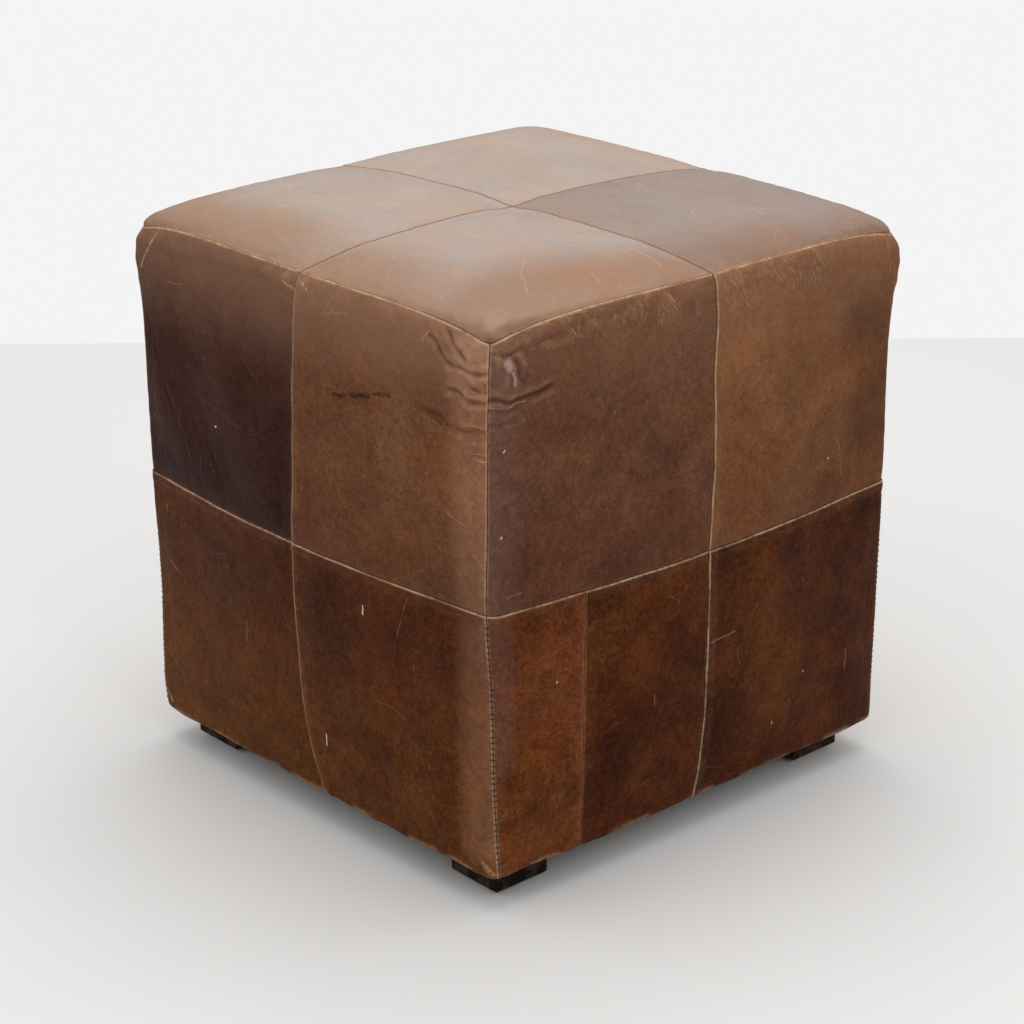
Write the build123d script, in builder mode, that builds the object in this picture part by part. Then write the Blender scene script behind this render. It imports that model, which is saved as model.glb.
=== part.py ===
"""Cube pouf: a patchwork leather cover over foam, on a doweled timber frame with four block feet.

Row frame: +Z up, origin on the floor under the middle of the pouf, front towards -Y. Millimetres.
"""

import os
from math import cos, radians, sin, sqrt

from build123d import *

os.makedirs("parts", exist_ok=True)

# ---- Driving dimensions ------------------------------------------------------------------------
# Cover, measured on the outside of the leather
corner_half = 220.0  # middle of the pouf to a corner seam's two flat sides
corner_radius = 12.0  # upright corners, over the padded posts
foot_height = 28.0  # wood foot with its felt glide
body_height = 440.0  # underside of the dust cover to the top seam
crown_rise = 26.5  # top seam to the highest point of the seat
waist_share = 0.5127  # the waist seam's height as a share of body_height
leather = 1.6
turn_under = 38.0  # width of leather folded under the frame and stapled
hem_radius = 3.0
splice_from_corner = 88.0  # the joined-on strip in one lower panel of the right side

# Padding
batting = 4.0
dust_cloth = 0.6
dust_cloth_half = 206.0
hardboard = 4.0
side_foam_at_corner = 6.4

# Timber
post = 45.0
rail_thickness = 22.0
top_rail_height = 50.0
bottom_rail_height = 70.0
deck_thickness = 12.0
deck_below_seam = 44.0  # top seam down to the top face of the plywood deck

# Feet
foot_size = 55.0
foot_inset = 20.0  # corner seam's flat sides to the foot
foot_chamfer = 2.0
glide_diameter = 32.0
glide_thickness = 3.0

# Fasteners
dowel_diameter = 8.0
dowel_length = 50.0
screw_diameter = 4.5
screw_head_diameter = 9.0
foot_screw_length = 50.0
foot_screw_sink = 5.0  # depth of the head under the foot's sole
foot_screw_out = 15.5  # from the foot's middle towards the outside, so that it meets the post
foot_screw_in = -4.5
deck_screw_length = 35.0
stretcher_screw_length = 60.0
nail_diameter = 1.8
nail_length = 22.0
nail_head_diameter = 4.0
nail_head_thickness = 1.0
staple_crown = 10.0
staple_leg = 8.0
staple_wire = 0.8
thread_diameter = 0.9
stitch_pitch = 5.0
stitch_length = 3.2

# ---- Levels and widths that follow from them ---------------------------------------------------
hem_z = foot_height + dust_cloth
frame_z = hem_z + leather
seam_z = foot_height + body_height
waist_z = foot_height + body_height * waist_share
deck_top_z = seam_z - deck_below_seam
frame_top_z = deck_top_z - deck_thickness
frame_height = frame_top_z - frame_z
core_half = corner_half - leather - batting - side_foam_at_corner  # outside of the hardboard
frame_half = core_half - hardboard
rail_length = 2 * (frame_half - post)
rail_middle = frame_half - rail_thickness / 2
foam_inset = leather + batting
reach = 400.0  # larger than the whole pouf, for cutting

sides = {"front": 0, "right": 90, "back": 180, "left": 270}
corners = {"front_left": (-1, -1), "front_right": (1, -1), "back_right": (1, 1), "back_left": (-1, 1)}

# Outline of the cover at each level: height, half width at the corners, how far each side bows out
lower_sections = [
    (hem_z, corner_half, 4.0),
    (hem_z + 0.5 * (waist_z - hem_z), corner_half, 12.0),
    (waist_z, corner_half, 15.0),
]
upper_sections = [
    (waist_z, corner_half, 15.0),
    (waist_z + 0.45 * (seam_z - waist_z), corner_half + 1.5, 14.0),
    (seam_z - 40.0, corner_half + 5.5, 11.0),
    (seam_z, corner_half + 1.0, 8.0),
]
crown_roll = 48.0  # how far in from the top seam the seat levels out
crown_edge_rise = 23.0  # height of that roll
dome_radius = 165.0  # round dome inside the levelled-out seat
crown_bow = 2.0
crown_corner_growth = 14.0
crown_turns = [0, 30, 60, 90]


# ---- Shared shapes -----------------------------------------------------------------------------
def bowed_square(half, bow, radius):
    """Edges of a square, rounded at the corners, whose sides bow outwards."""
    inner = half - radius
    with BuildLine() as outline:
        for turn in sides.values():
            start = Vector(-inner, -half).rotate(Axis.Z, turn)
            middle = Vector(0, -half - bow).rotate(Axis.Z, turn)
            end = Vector(inner, -half).rotate(Axis.Z, turn)
            after = Vector(half, -inner).rotate(Axis.Z, turn)
            knee_reach = inner + radius / sqrt(2)
            knee = Vector(knee_reach, -knee_reach).rotate(Axis.Z, turn)
            ThreePointArc(start, middle, end)
            ThreePointArc(end, knee, after)
    return outline.edges()


def side_envelope(sections, inset):
    """Solid inside the cover's sides, as far in from the leather's outside as inset."""
    with BuildPart() as envelope:
        for height, half, bow in sections:
            with BuildSketch(Plane.XY.offset(height)):
                make_face(bowed_square(half - inset, bow, corner_radius - inset))
        loft()
    return envelope.part


def dome(base_z):
    """Shallow cap of a large sphere, standing on base_z."""
    rise = crown_rise - crown_edge_rise
    ball_radius = (dome_radius**2 + rise**2) / (2 * rise)
    with BuildPart() as cap:
        with Locations((0, 0, base_z + rise - ball_radius)):
            Sphere(ball_radius)
        split(bisect_by=Plane.XY.offset(base_z), keep=Keep.TOP)
    return cap.part


def crown_envelope(inset):
    """Solid above the top seam, under the seat's rolled edge and the shallow dome inside it."""
    seam_half, seam_bow = upper_sections[-1][1:]
    level_z = seam_z + crown_edge_rise - inset
    with BuildPart() as envelope:
        for turn in crown_turns:
            out, up = cos(radians(turn)), sin(radians(turn))
            half = seam_half - crown_roll * (1 - out) - inset * out
            bow = crown_bow + (seam_bow - crown_bow) * out
            radius = corner_radius - inset + crown_corner_growth * (1 - out)
            with BuildSketch(Plane.XY.offset(seam_z + (crown_edge_rise - inset) * up)):
                make_face(bowed_square(half, bow, radius))
        loft()
        add(dome(level_z))
    return envelope.part


def wedge(turn, low, high):
    """Upright prism from the middle of the pouf out through one side, between two shares of that side.

    low and high run from -1 at the side's left corner seam to 1 at its right one, seen from outside.
    """
    with BuildPart() as prism:
        with BuildSketch():
            with BuildLine():
                Polyline(
                    Vector(0, 0).rotate(Axis.Z, turn),
                    Vector(low * reach, -reach).rotate(Axis.Z, turn),
                    Vector(high * reach, -reach).rotate(Axis.Z, turn),
                    close=True,
                )
            make_face()
        extrude(amount=2 * reach)
    return prism.part


def wood_screw(length):
    """Countersunk screw with its head's face on the ground plane and its point up."""
    shank = screw_diameter / 2
    head = screw_head_diameter / 2
    with BuildPart() as screw:
        with BuildSketch(Plane.XZ):
            with BuildLine():
                Polyline(
                    (0, 0),
                    (head, 0),
                    (shank, head - shank),
                    (shank, length - 2 * shank),
                    (0, length),
                    close=True,
                )
            make_face()
        revolve(axis=Axis.Z)
    return screw.part


def board_nail():
    """Flat-headed nail with its head's face on the ground plane and its point up."""
    shank = nail_diameter / 2
    with BuildPart() as nail:
        Cylinder(nail_head_diameter / 2, nail_head_thickness, align=on_ground)
        Cylinder(shank, nail_length - 2 * shank, align=on_ground)
        with Locations((0, 0, nail_length - 2 * shank)):
            Cone(shank, 0.1, 2 * shank, align=on_ground)
    return nail.part


def staple():
    """Staple along X with its crown's face on the ground plane and its legs up."""
    with BuildPart() as wire:
        Box(staple_crown, staple_wire, staple_wire, align=on_ground)
        with Locations(*[(end * (staple_crown - staple_wire) / 2, 0) for end in (-1, 1)]):
            Box(staple_wire, staple_wire, staple_leg, align=on_ground)
    return wire.part


def publish(piece, name):
    """Labels a finished piece and writes its STEP file."""
    piece.part.label = name
    export_step(piece.part, f"parts/{name}.step")


def on_side(turn, x, y, z):
    """Place given as if on the front side, turned round the middle of the pouf."""
    return Location((0, 0, 0), (0, 0, turn)) * Location((x, y, z))


on_ground = (Align.CENTER, Align.CENTER, Align.MIN)
side_planes = [Plane.XY.rotated((0, 0, turn)) for turn in sides.values()]
corner_planes = [Plane.XY.rotated((0, 0, turn + 45)) for turn in sides.values()]

# ---- Fasteners ---------------------------------------------------------------------------------
# Front side's places, which side_planes repeats on the other three
top_dowel_heights = [frame_top_z - top_rail_height / 2 + step for step in (-12, 12)]
bottom_dowel_heights = [frame_z + step for step in (38, 58)]

with BuildPart(*side_planes) as rail_dowels:
    for height in top_dowel_heights + bottom_dowel_heights:
        with Locations(*[(end * rail_length / 2, -rail_middle, height) for end in (-1, 1)]):
            Cylinder(dowel_diameter / 2, dowel_length, rotation=(0, 90, 0))

foot_middle = corner_half - foot_inset - foot_size / 2
foot_screw_spots = [
    (x * (foot_middle + dx), y * (foot_middle + dy))
    for x, y in corners.values()
    for dx, dy in ((foot_screw_out, foot_screw_in), (foot_screw_in, foot_screw_out))
]

with BuildPart() as foot_screws:
    with Locations(*[(x, y, glide_thickness + foot_screw_sink) for x, y in foot_screw_spots]):
        add(wood_screw(foot_screw_length))

deck_screw_spots = [(x, -rail_middle, deck_top_z) for x in (-130, -45, 45, 130)]
with BuildPart(*side_planes) as deck_screws:
    with Locations(*[Location(spot, (180, 0, 0)) for spot in deck_screw_spots]):
        add(wood_screw(deck_screw_length))

stretcher_screw_heights = [frame_top_z - top_rail_height / 2 + step for step in (-10, 10)]
with BuildPart(side_planes[0], side_planes[2]) as stretcher_screws:
    with Locations(*[Location((0, -frame_half, z), (-90, 0, 0)) for z in stretcher_screw_heights]):
        add(wood_screw(stretcher_screw_length))

post_nail_spots = [(x, z) for x in (-181, 181) for z in (125, 200, 275, 345)]
rail_nail_spots = [(x, z) for x in (-100, 30, 100) for z in (frame_z + 20, frame_top_z - 15)]
with BuildPart(*side_planes) as board_nails:
    spots = post_nail_spots + rail_nail_spots
    with Locations(*[Location((x, -core_half, z), (-90, 0, 0)) for x, z in spots]):
        add(board_nail())

cover_staple_line = 190.0
cover_staple_places = [32.0 * step for step in range(-5, 6)]
with BuildPart(*side_planes) as cover_staples:
    with Locations(*[(x, -cover_staple_line, hem_z) for x in cover_staple_places]):
        add(staple())

dust_staple_line = 199.0
dust_staple_places = [29.0 * step for step in range(-4, 5)]
with BuildPart(*side_planes) as dust_staples:
    with Locations(*[(x, -dust_staple_line, foot_height - staple_wire) for x in dust_staple_places]):
        add(staple())

# Rungs of thread that show where the lower corner seams pull open
corner_reach = sqrt(2) * (corner_half - corner_radius) + corner_radius
rung_out = corner_reach + thread_diameter / 6
rung_heights = [hem_z + 7.0 + stitch_pitch * step for step in range(43)]
with BuildPart(*corner_planes) as corner_seam_thread:
    with Locations(*[(0, -rung_out, height) for height in rung_heights]):
        Cylinder(thread_diameter / 2, stitch_length, rotation=(0, 90, 0))

fasteners = {
    "rail_dowels": rail_dowels,
    "foot_screws": foot_screws,
    "deck_screws": deck_screws,
    "stretcher_screws": stretcher_screws,
    "board_nails": board_nails,
    "cover_staples": cover_staples,
    "dust_cloth_staples": dust_staples,
    "corner_seam_thread": corner_seam_thread,
}
for name, group in fasteners.items():
    publish(group, name)

# ---- Feet --------------------------------------------------------------------------------------
foot_spots = {name: (x * foot_middle, y * foot_middle) for name, (x, y) in corners.items()}
for name, spot in foot_spots.items():
    with BuildPart() as foot:
        with Locations((*spot, glide_thickness)):
            Box(foot_size, foot_size, foot_height - glide_thickness, align=on_ground)
        chamfer(foot.faces().sort_by(Axis.Z)[0].edges(), foot_chamfer)
        chamfer(foot.edges().filter_by(Axis.Z), foot_chamfer / 2)
        recess = [(x, y, glide_thickness) for x, y in foot_screw_spots]
        with Locations(*recess):
            Cylinder(
                screw_head_diameter / 2, foot_screw_sink, align=on_ground, mode=Mode.SUBTRACT
            )
        add(foot_screws.part, mode=Mode.SUBTRACT)
    publish(foot, f"foot_{name}")

with BuildPart() as felt_glides:
    with Locations(*foot_spots.values()):
        Cylinder(glide_diameter / 2, glide_thickness, align=on_ground)
publish(felt_glides, "felt_glides")

# ---- Timber frame ------------------------------------------------------------------------------
post_middle = frame_half - post / 2
for name, (x, y) in corners.items():
    with BuildPart() as corner_post:
        with Locations((x * post_middle, y * post_middle, frame_z)):
            Box(post, post, frame_height, align=on_ground)
        for group in (rail_dowels, foot_screws, board_nails, cover_staples):
            add(group.part, mode=Mode.SUBTRACT)
    publish(corner_post, f"corner_post_{name}")

rails = {
    "top": (frame_top_z - top_rail_height, top_rail_height),
    "bottom": (frame_z, bottom_rail_height),
}
for side, turn in sides.items():
    for level, (height, depth) in rails.items():
        with BuildPart() as rail:
            with Locations(on_side(turn, 0, -rail_middle, height)):
                Box(rail_length, rail_thickness, depth, align=on_ground)
            for group in (
                rail_dowels, deck_screws, stretcher_screws, board_nails, cover_staples, dust_staples
            ):
                add(group.part, mode=Mode.SUBTRACT)
        publish(rail, f"{level}_rail_{side}")

with BuildPart() as deck_stretcher:
    with Locations((0, 0, frame_top_z - top_rail_height)):
        Box(rail_thickness, 2 * (frame_half - rail_thickness), top_rail_height, align=on_ground)
    add(stretcher_screws.part, mode=Mode.SUBTRACT)
publish(deck_stretcher, "deck_stretcher")

with BuildPart() as seat_deck:
    with Locations((0, 0, frame_top_z)):
        Box(2 * core_half, 2 * core_half, deck_thickness, align=on_ground)
    add(deck_screws.part, mode=Mode.SUBTRACT)
publish(seat_deck, "seat_deck")

# Hardboard sides: front and back run the full width, left and right fit between them
for side, turn in sides.items():
    board_width = 2 * (core_half if side in ("front", "back") else frame_half)
    with BuildPart() as side_board:
        with Locations(on_side(turn, 0, -core_half + hardboard / 2, frame_z)):
            Box(board_width, hardboard, frame_height, align=on_ground)
        add(board_nails.part, mode=Mode.SUBTRACT)
    publish(side_board, f"side_board_{side}")

# ---- Padding -----------------------------------------------------------------------------------
with BuildPart() as inside_of_batting:
    add(side_envelope(lower_sections, foam_inset))
    add(side_envelope(upper_sections, foam_inset))
    add(crown_envelope(foam_inset))
    split(bisect_by=Plane.XY.offset(frame_z), keep=Keep.TOP)

with BuildPart() as batting_wrap:
    add(side_envelope(lower_sections, leather))
    add(side_envelope(upper_sections, leather))
    add(crown_envelope(leather))
    split(bisect_by=Plane.XY.offset(frame_z), keep=Keep.TOP)
    add(inside_of_batting.part, mode=Mode.SUBTRACT)
publish(batting_wrap, "batting_wrap")

with BuildPart() as seat_foam:
    add(inside_of_batting.part)
    split(bisect_by=Plane.XY.offset(deck_top_z), keep=Keep.TOP)
publish(seat_foam, "seat_foam")

with BuildPart() as side_padding:
    add(inside_of_batting.part)
    split(bisect_by=Plane.XY.offset(deck_top_z), keep=Keep.BOTTOM)
    with Locations((0, 0, frame_z)):
        Box(
            2 * core_half, 2 * core_half, deck_top_z - frame_z, align=on_ground, mode=Mode.SUBTRACT
        )
for side, turn in sides.items():
    with BuildPart() as side_foam:
        add(side_padding.part)
        add(wedge(turn, -1, 1), mode=Mode.INTERSECT)
    publish(side_foam, f"side_foam_{side}")

# ---- Leather cover -----------------------------------------------------------------------------
with BuildPart() as lower_cavity:
    add(side_envelope(lower_sections, leather))
    split(bisect_by=Plane.XY.offset(frame_z), keep=Keep.TOP)

with BuildPart() as lower_leather:
    add(side_envelope(lower_sections, 0))
    fillet(lower_leather.faces().sort_by(Axis.Z)[0].edges(), hem_radius)
    add(lower_cavity.part, mode=Mode.SUBTRACT)
    opening = 2 * (corner_half - turn_under)
    with Locations((0, 0, hem_z)):
        Box(opening, opening, leather, align=on_ground, mode=Mode.SUBTRACT)

with BuildPart() as upper_leather:
    add(side_envelope(upper_sections, 0))
    add(side_envelope(upper_sections, leather), mode=Mode.SUBTRACT)

with BuildPart() as top_leather:
    add(crown_envelope(0))
    add(crown_envelope(leather), mode=Mode.SUBTRACT)

through_leather = (foot_screws, cover_staples, dust_staples, corner_seam_thread)
leather_levels = {"lower": lower_leather, "upper": upper_leather}
side_halves = {"left": (-1, 0), "right": (0, 1)}
splice_plane = Plane.XZ.offset(corner_half - splice_from_corner)
for side, turn in sides.items():
    for level, sleeve in leather_levels.items():
        for half, (low, high) in side_halves.items():
            with BuildPart() as panel:
                add(sleeve.part)
                add(wedge(turn, low, high), mode=Mode.INTERSECT)
                if level == "lower":
                    for group in through_leather:
                        add(group.part, mode=Mode.SUBTRACT)
            if (side, level, half) != ("right", "lower", "left"):
                publish(panel, f"{side}_panel_{level}_{half}")
                continue
            # Pieced from two cuts of leather: the strip is the one by the corner
            with BuildPart() as strip:
                add(panel.part)
                split(bisect_by=splice_plane, keep=Keep.TOP)
            publish(strip, "right_panel_lower_left_strip")
            with BuildPart() as rest_of_panel:
                add(panel.part)
                split(bisect_by=splice_plane, keep=Keep.BOTTOM)
            publish(rest_of_panel, "right_panel_lower_left")

for name, (x, y) in corners.items():
    with BuildPart() as top_panel:
        add(top_leather.part)
        with Locations((x * reach / 2, y * reach / 2, seam_z)):
            Box(reach, reach, reach, align=on_ground, mode=Mode.INTERSECT)
    publish(top_panel, f"top_panel_{name}")

# ---- Underside ---------------------------------------------------------------------------------
with BuildPart() as dust_cover:
    with Locations((0, 0, foot_height)):
        Box(2 * dust_cloth_half, 2 * dust_cloth_half, dust_cloth, align=on_ground)
    for group in (foot_screws, dust_staples):
        add(group.part, mode=Mode.SUBTRACT)
publish(dust_cover, "dust_cover")
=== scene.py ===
"""Looks for the leather cube pouf: sewn leather panels, padding, feet and underside around the CAD frame.

Lengths are in metres, in the row frame: +Z up, origin on the floor under the middle, front towards -Y.
The cover is one surface, worked out from heights and widths below. Every leather panel is a patch of it.
"""

import math

import bpy
import numpy as np
from mathutils import Matrix, Vector


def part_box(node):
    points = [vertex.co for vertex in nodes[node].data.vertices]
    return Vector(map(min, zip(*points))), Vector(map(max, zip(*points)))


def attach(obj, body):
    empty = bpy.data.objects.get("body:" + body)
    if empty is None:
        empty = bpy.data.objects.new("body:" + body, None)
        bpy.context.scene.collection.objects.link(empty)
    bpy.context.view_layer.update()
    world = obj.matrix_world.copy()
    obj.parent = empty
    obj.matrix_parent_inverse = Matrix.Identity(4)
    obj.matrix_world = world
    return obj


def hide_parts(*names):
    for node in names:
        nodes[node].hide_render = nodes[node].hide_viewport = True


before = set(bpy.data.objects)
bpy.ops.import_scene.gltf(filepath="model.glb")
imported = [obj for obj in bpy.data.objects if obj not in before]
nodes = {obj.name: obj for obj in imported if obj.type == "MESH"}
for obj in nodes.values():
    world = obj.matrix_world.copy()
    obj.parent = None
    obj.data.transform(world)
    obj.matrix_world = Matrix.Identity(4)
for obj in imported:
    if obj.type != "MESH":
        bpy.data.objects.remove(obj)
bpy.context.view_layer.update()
MM = 0.001
UP = np.array([0, 0, 1])

# ---- The frame's own levels and widths ----------------------------------------------------------
HEM_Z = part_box("front_panel_lower_left")[0].z
WAIST_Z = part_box("front_panel_lower_left")[1].z
SEAM_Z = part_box("front_panel_upper_left")[1].z
CROWN_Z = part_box("top_panel_front_left")[1].z
FLOOR_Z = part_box("felt_glides")[0].z
LEATHER = 1.6 * MM
CORNER_HALF = 220.0 * MM
CORNER_RADIUS = 12.0 * MM
HEM_RADIUS = 4.5 * MM
TURN_UNDER = 38.0 * MM
SPLICE_FROM_CORNER = 88.0 * MM
TOP_ARCH = 12.5 * MM  # how far the top seam rises between the corners
SEAT_ROLL = 54.0 * MM  # how far in from the top seam the seat levels out
SEAT_CROWN = 4.0 * MM  # and how far its middle rises above that
SEAT_START = math.radians(15)  # how far round its roll the seat's edge begins
# The seat's corners, by their signs of x and y: a slumped one has a low fullness
SEAT_FULLNESS = {(-1, -1): 2.4, (1, -1): 2.0, (1, 1): 1.5, (-1, 1): 9.0}
SEAT_PUFFS = {(-1, -1): 2.2, (1, -1): 0.5, (1, 1): 0.8, (-1, 1): 6.4}  # extra height near them, in mm
PUFF_AT, PUFF_SPREAD = 0.75, 0.10  # where that is, as shares of the way to the top seam
SEAM_DIP, SEAM_DIP_AT_EDGE = 3.0, 3.2  # how far the cross seams pull the seat down, in mm
SEAM_DIP_WIDTH = 24.0 * MM

SIDES = ("front", "right", "back", "left")
CORNERS = {"front_left": (-1, -1), "front_right": (1, -1), "back_right": (1, 1), "back_left": (-1, 1)}
UPPER = SEAM_Z - WAIST_Z
# Half width at the corner seams, and how far each side bows out past it, at a few heights
NEAR_SEAM = [SEAM_Z - drop * MM for drop in (40, 18, 7, 0)]
HALF_HEIGHTS = [HEM_Z, WAIST_Z, WAIST_Z + 0.45 * UPPER, *NEAR_SEAM]
HALF_WIDTHS = [CORNER_HALF + extra * MM for extra in (0, 0, 1.5, 5.0, 5.2, 3.6, 0.6)]
BOW_HEIGHTS = [HEM_Z, 0.5 * (HEM_Z + WAIST_Z), WAIST_Z, SEAM_Z - 0.100, SEAM_Z - 0.030, SEAM_Z + 0.012]
BOWS = [0.0025, 0.0105, 0.0135, 0.0125, 0.0085, 0.0065]
# How far each corner stands out past that, along X and Y alike, in mm, at a few heights
STAND_OUT_HEIGHTS = [HEM_Z, 0.060, 0.150, WAIST_Z, 0.350, 0.410, 0.445, SEAM_Z]
STAND_OUTS = {
    "front_left": [2.7, 4.0, 2.8, 4.2, 2.9, 0.6, 1.6, 0.4],
    "front_right": [0.5, 0.8, 0.5, 0.8, 0.4, 0.3, 0.6, 0],
    "back_right": [3.6, 3.8, 4.6, 5.2, 3.2, 1.6, 4.0, 3.0],
    "back_left": [2.5, 3.2, 3.0, 3.8, 3.0, 1.5, 3.0, 1.5],
}

HEM_ARC = HEM_RADIUS * math.pi / 2


def rise_of(z):
    """Length up the leather from the underside to a height above the hem's turn."""
    return z - HEM_Z - HEM_RADIUS + HEM_ARC


WAIST_RISE, SEAM_RISE = rise_of(WAIST_Z), rise_of(SEAM_Z)

# Seams wander off their true lines as hand-sewn ones do: offsets rightwards, in mm, up each seam
SEAM_HEIGHTS = [HEM_Z, 0.060, 0.110, 0.190, WAIST_Z, 0.330, 0.400, SEAM_Z]
MIDDLE_WANDER = {
    "front": [13, 4, -4, -6.0, -4.4, 0, 4, 8.5],
    "right": [-6, -2, -0.5, -2.5, -3.5, 0.5, -1, 1],
    "back": [3, 1, -2, -3, -1, 1, 2, -2],
    "left": [-4, -2, 1, 3, 2, -1, -2, 1],
}
CORNER_WANDER = {  # of the seam at each side's right-hand corner
    "front": [4.2, 2.5, 0.5, -1.0, -4.2, -2.8, -1.5, 0.6],
    "right": [1, 0.5, -1, -1.5, 1.5, 1, -1, 0],
    "back": [-2, -1, 0.5, 1, -1, -1.5, 0, 1],
    "left": [2, 1.5, 0, -1, -2, -1, 0.5, 0],
}


# ---- The cover's surface ------------------------------------------------------------------------
def smooth_share(share):
    return share * share * (3 - 2 * share)


def smooth_step(value, low, high):
    return smooth_share(np.clip((value - low) / (high - low), 0, 1))


def through(heights, values, z):
    """Smooth curve through a few heights that never overshoots them."""
    heights, values = np.asarray(heights, float), np.asarray(values, float)
    steps = np.diff(heights)
    slopes = np.diff(values) / steps
    tangent = np.zeros_like(values)
    same_way = slopes[1:] * slopes[:-1] > 0
    tangent[1:-1][same_way] = 2 / (1 / slopes[1:][same_way] + 1 / slopes[:-1][same_way])
    tangent[0], tangent[-1] = slopes[0], slopes[-1]
    z = np.clip(z, heights[0], heights[-1])
    i = np.clip(np.searchsorted(heights, z) - 1, 0, len(steps) - 1)
    t = (z - heights[i]) / steps[i]
    return (
        (1 + 2 * t) * (1 - t) ** 2 * values[i]
        + t * (1 - t) ** 2 * steps[i] * tangent[i]
        + t * t * (3 - 2 * t) * values[i + 1]
        + t * t * (t - 1) * steps[i] * tangent[i + 1]
    )


BULGE_FULLNESS, BULGE_TAPER = 2.2, 1.3  # how flat a side's bulge is in the middle and near its corners


def outline(u, half, bow, radius):
    """Across and outward places on one side's rounded, bowed outline; u is -1 and 1 at its corner seams."""
    flat = half - radius
    along = np.abs(u) * (flat + radius * math.pi / 4)
    share = np.minimum(along / flat, 1)
    angle = np.maximum(along - flat, 0) / radius
    across = np.where(along < flat, along, flat + radius * np.sin(angle))
    bulge = bow * (1 - share**BULGE_FULLNESS) ** BULGE_TAPER
    outward = np.where(along < flat, half + bulge, flat + radius * np.cos(angle))
    return np.sign(u) * across, outward


def turn_of(side):
    """Cosine and sine of a side's turn about the upright axis, from the front."""
    turn = math.radians(90 * SIDES.index(side))
    return math.cos(turn), math.sin(turn)


def turned(side, across, outward, z):
    """Row-frame points for places given as seen from outside a side."""
    cos, sin = turn_of(side)
    x, y = across, -outward
    return np.stack([x * cos - y * sin, x * sin + y * cos, z], axis=-1)


def across_on(side, points):
    """How far row-frame points are to the right of a side's middle, as seen from outside."""
    cos, sin = turn_of(side)
    return points[..., 0] * cos + points[..., 1] * sin


def hem_angle(rise):
    """How far round the hem's turn a length up the leather is."""
    return np.clip(rise / HEM_ARC, 0, 1) * math.pi / 2


def height_of(rise):
    """Height on a side for a length up the leather from the underside; a negative one is still under it."""
    on_turn = HEM_Z + HEM_RADIUS * (1 - np.cos(hem_angle(rise)))
    return np.where(rise < HEM_ARC, on_turn, HEM_Z + HEM_RADIUS + rise - HEM_ARC)


ARCH_FLATNESS = 5  # a high number keeps the top seam's arch level until near the corners


def arch(u):
    """How much higher the top seam is than at the corners."""
    return TOP_ARCH * (1 - np.minimum(np.abs(u), 1) ** ARCH_FLATNESS)


def stand_out(points):
    """Moves points out by the amounts for the corners that they are nearest to."""
    moved = points.copy()
    for corner, (x_sign, y_sign) in CORNERS.items():
        near_x = np.clip(x_sign * points[..., 0] / CORNER_HALF, -1, 1)
        near_y = np.clip(y_sign * points[..., 1] / CORNER_HALF, -1, 1)
        amount = through(STAND_OUT_HEIGHTS, STAND_OUTS[corner], points[..., 2]) * MM
        amount = amount * (1 + near_x) * (1 + near_y) / 4
        moved[..., 0] += x_sign * amount * np.abs(near_x)
        moved[..., 1] += y_sign * amount * np.abs(near_y)
    return moved


def side_base(side, u, rise):
    """Points on a side's outside."""
    u, rise = np.broadcast_arrays(np.asarray(u, float), np.asarray(rise, float))
    z = height_of(rise)
    tucked = np.maximum(-rise, 0) + HEM_RADIUS * (1 - np.sin(hem_angle(rise)))
    half = through(HALF_HEIGHTS, HALF_WIDTHS, z) - tucked
    bow = through(BOW_HEIGHTS, BOWS, z)
    radius = np.maximum(CORNER_RADIUS - tucked, 1.0 * MM)
    across, outward = outline(u, half, bow, radius)
    return stand_out(turned(side, across, outward, z + arch(u) * smooth_step(z, WAIST_Z, SEAM_Z)))


def seat_base(x_sign, y_sign, p, q):
    """Points on a quarter of the seat. p and q are 0 at the cross seams and 1 at the top seam."""
    p, q = np.broadcast_arrays(np.asarray(p, float), np.asarray(q, float))
    x_side = "right" if x_sign > 0 else "left"
    y_side = "back" if y_sign > 0 else "front"
    rightwards = {"front": x_sign, "right": y_sign, "back": -x_sign, "left": -y_sign}

    def edge(side, share):
        return side_base(side, rightwards[side] * share, SEAM_RISE)[..., :2]

    on_x, on_y = edge(x_side, q), edge(y_side, p)
    corner = edge(x_side, np.ones_like(q))
    p_, q_ = p[..., None], q[..., None]
    plan = q_ * on_y + p_ * on_x - p_ * q_ * corner
    # The cross seams meet the wandering middle seams of the sides
    plan[..., 0] += -y_sign * MIDDLE_WANDER[y_side][-1] * MM * q * q * (1 - p * p)
    plan[..., 1] += x_sign * MIDDLE_WANDER[x_side][-1] * MM * p * p * (1 - q * q)
    inwards = [np.clip((1 - share) * CORNER_HALF / SEAT_ROLL, 0, 1) for share in (p, q)]
    start_out, start_up = math.cos(SEAT_START), math.sin(SEAT_START)
    climbs = [np.sqrt(1 - (start_out * (1 - share)) ** 2) for share in inwards]
    climbs = [(climb - start_up) / (1 - start_up) + 1e-6 for climb in climbs]
    full = SEAT_FULLNESS[x_sign, y_sign]
    climb = (climbs[0] ** -full + climbs[1] ** -full - 1) ** (-1 / full)
    low = SEAM_Z + TOP_ARCH * (1 - (p * q) ** ARCH_FLATNESS)
    from_middle = np.clip(p * p + q * q, 0, 1.4)  # no lower than this towards the corners
    high = CROWN_Z - SEAT_CROWN * from_middle
    from_puff = (p - PUFF_AT) ** 2 + (q - PUFF_AT) ** 2
    high = high + SEAT_PUFFS[x_sign, y_sign] * MM * np.exp(-from_puff / PUFF_SPREAD)
    for across, along in ((p, q), (q, p)):
        depth = (SEAM_DIP + SEAM_DIP_AT_EDGE * smooth_step(along, 0.55, 0.95)) * MM
        high = high - depth * np.exp(-((across * CORNER_HALF / SEAM_DIP_WIDTH) ** 2))
    return np.concatenate([plan, (low + (high - low) * climb)[..., None]], axis=-1)


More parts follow.
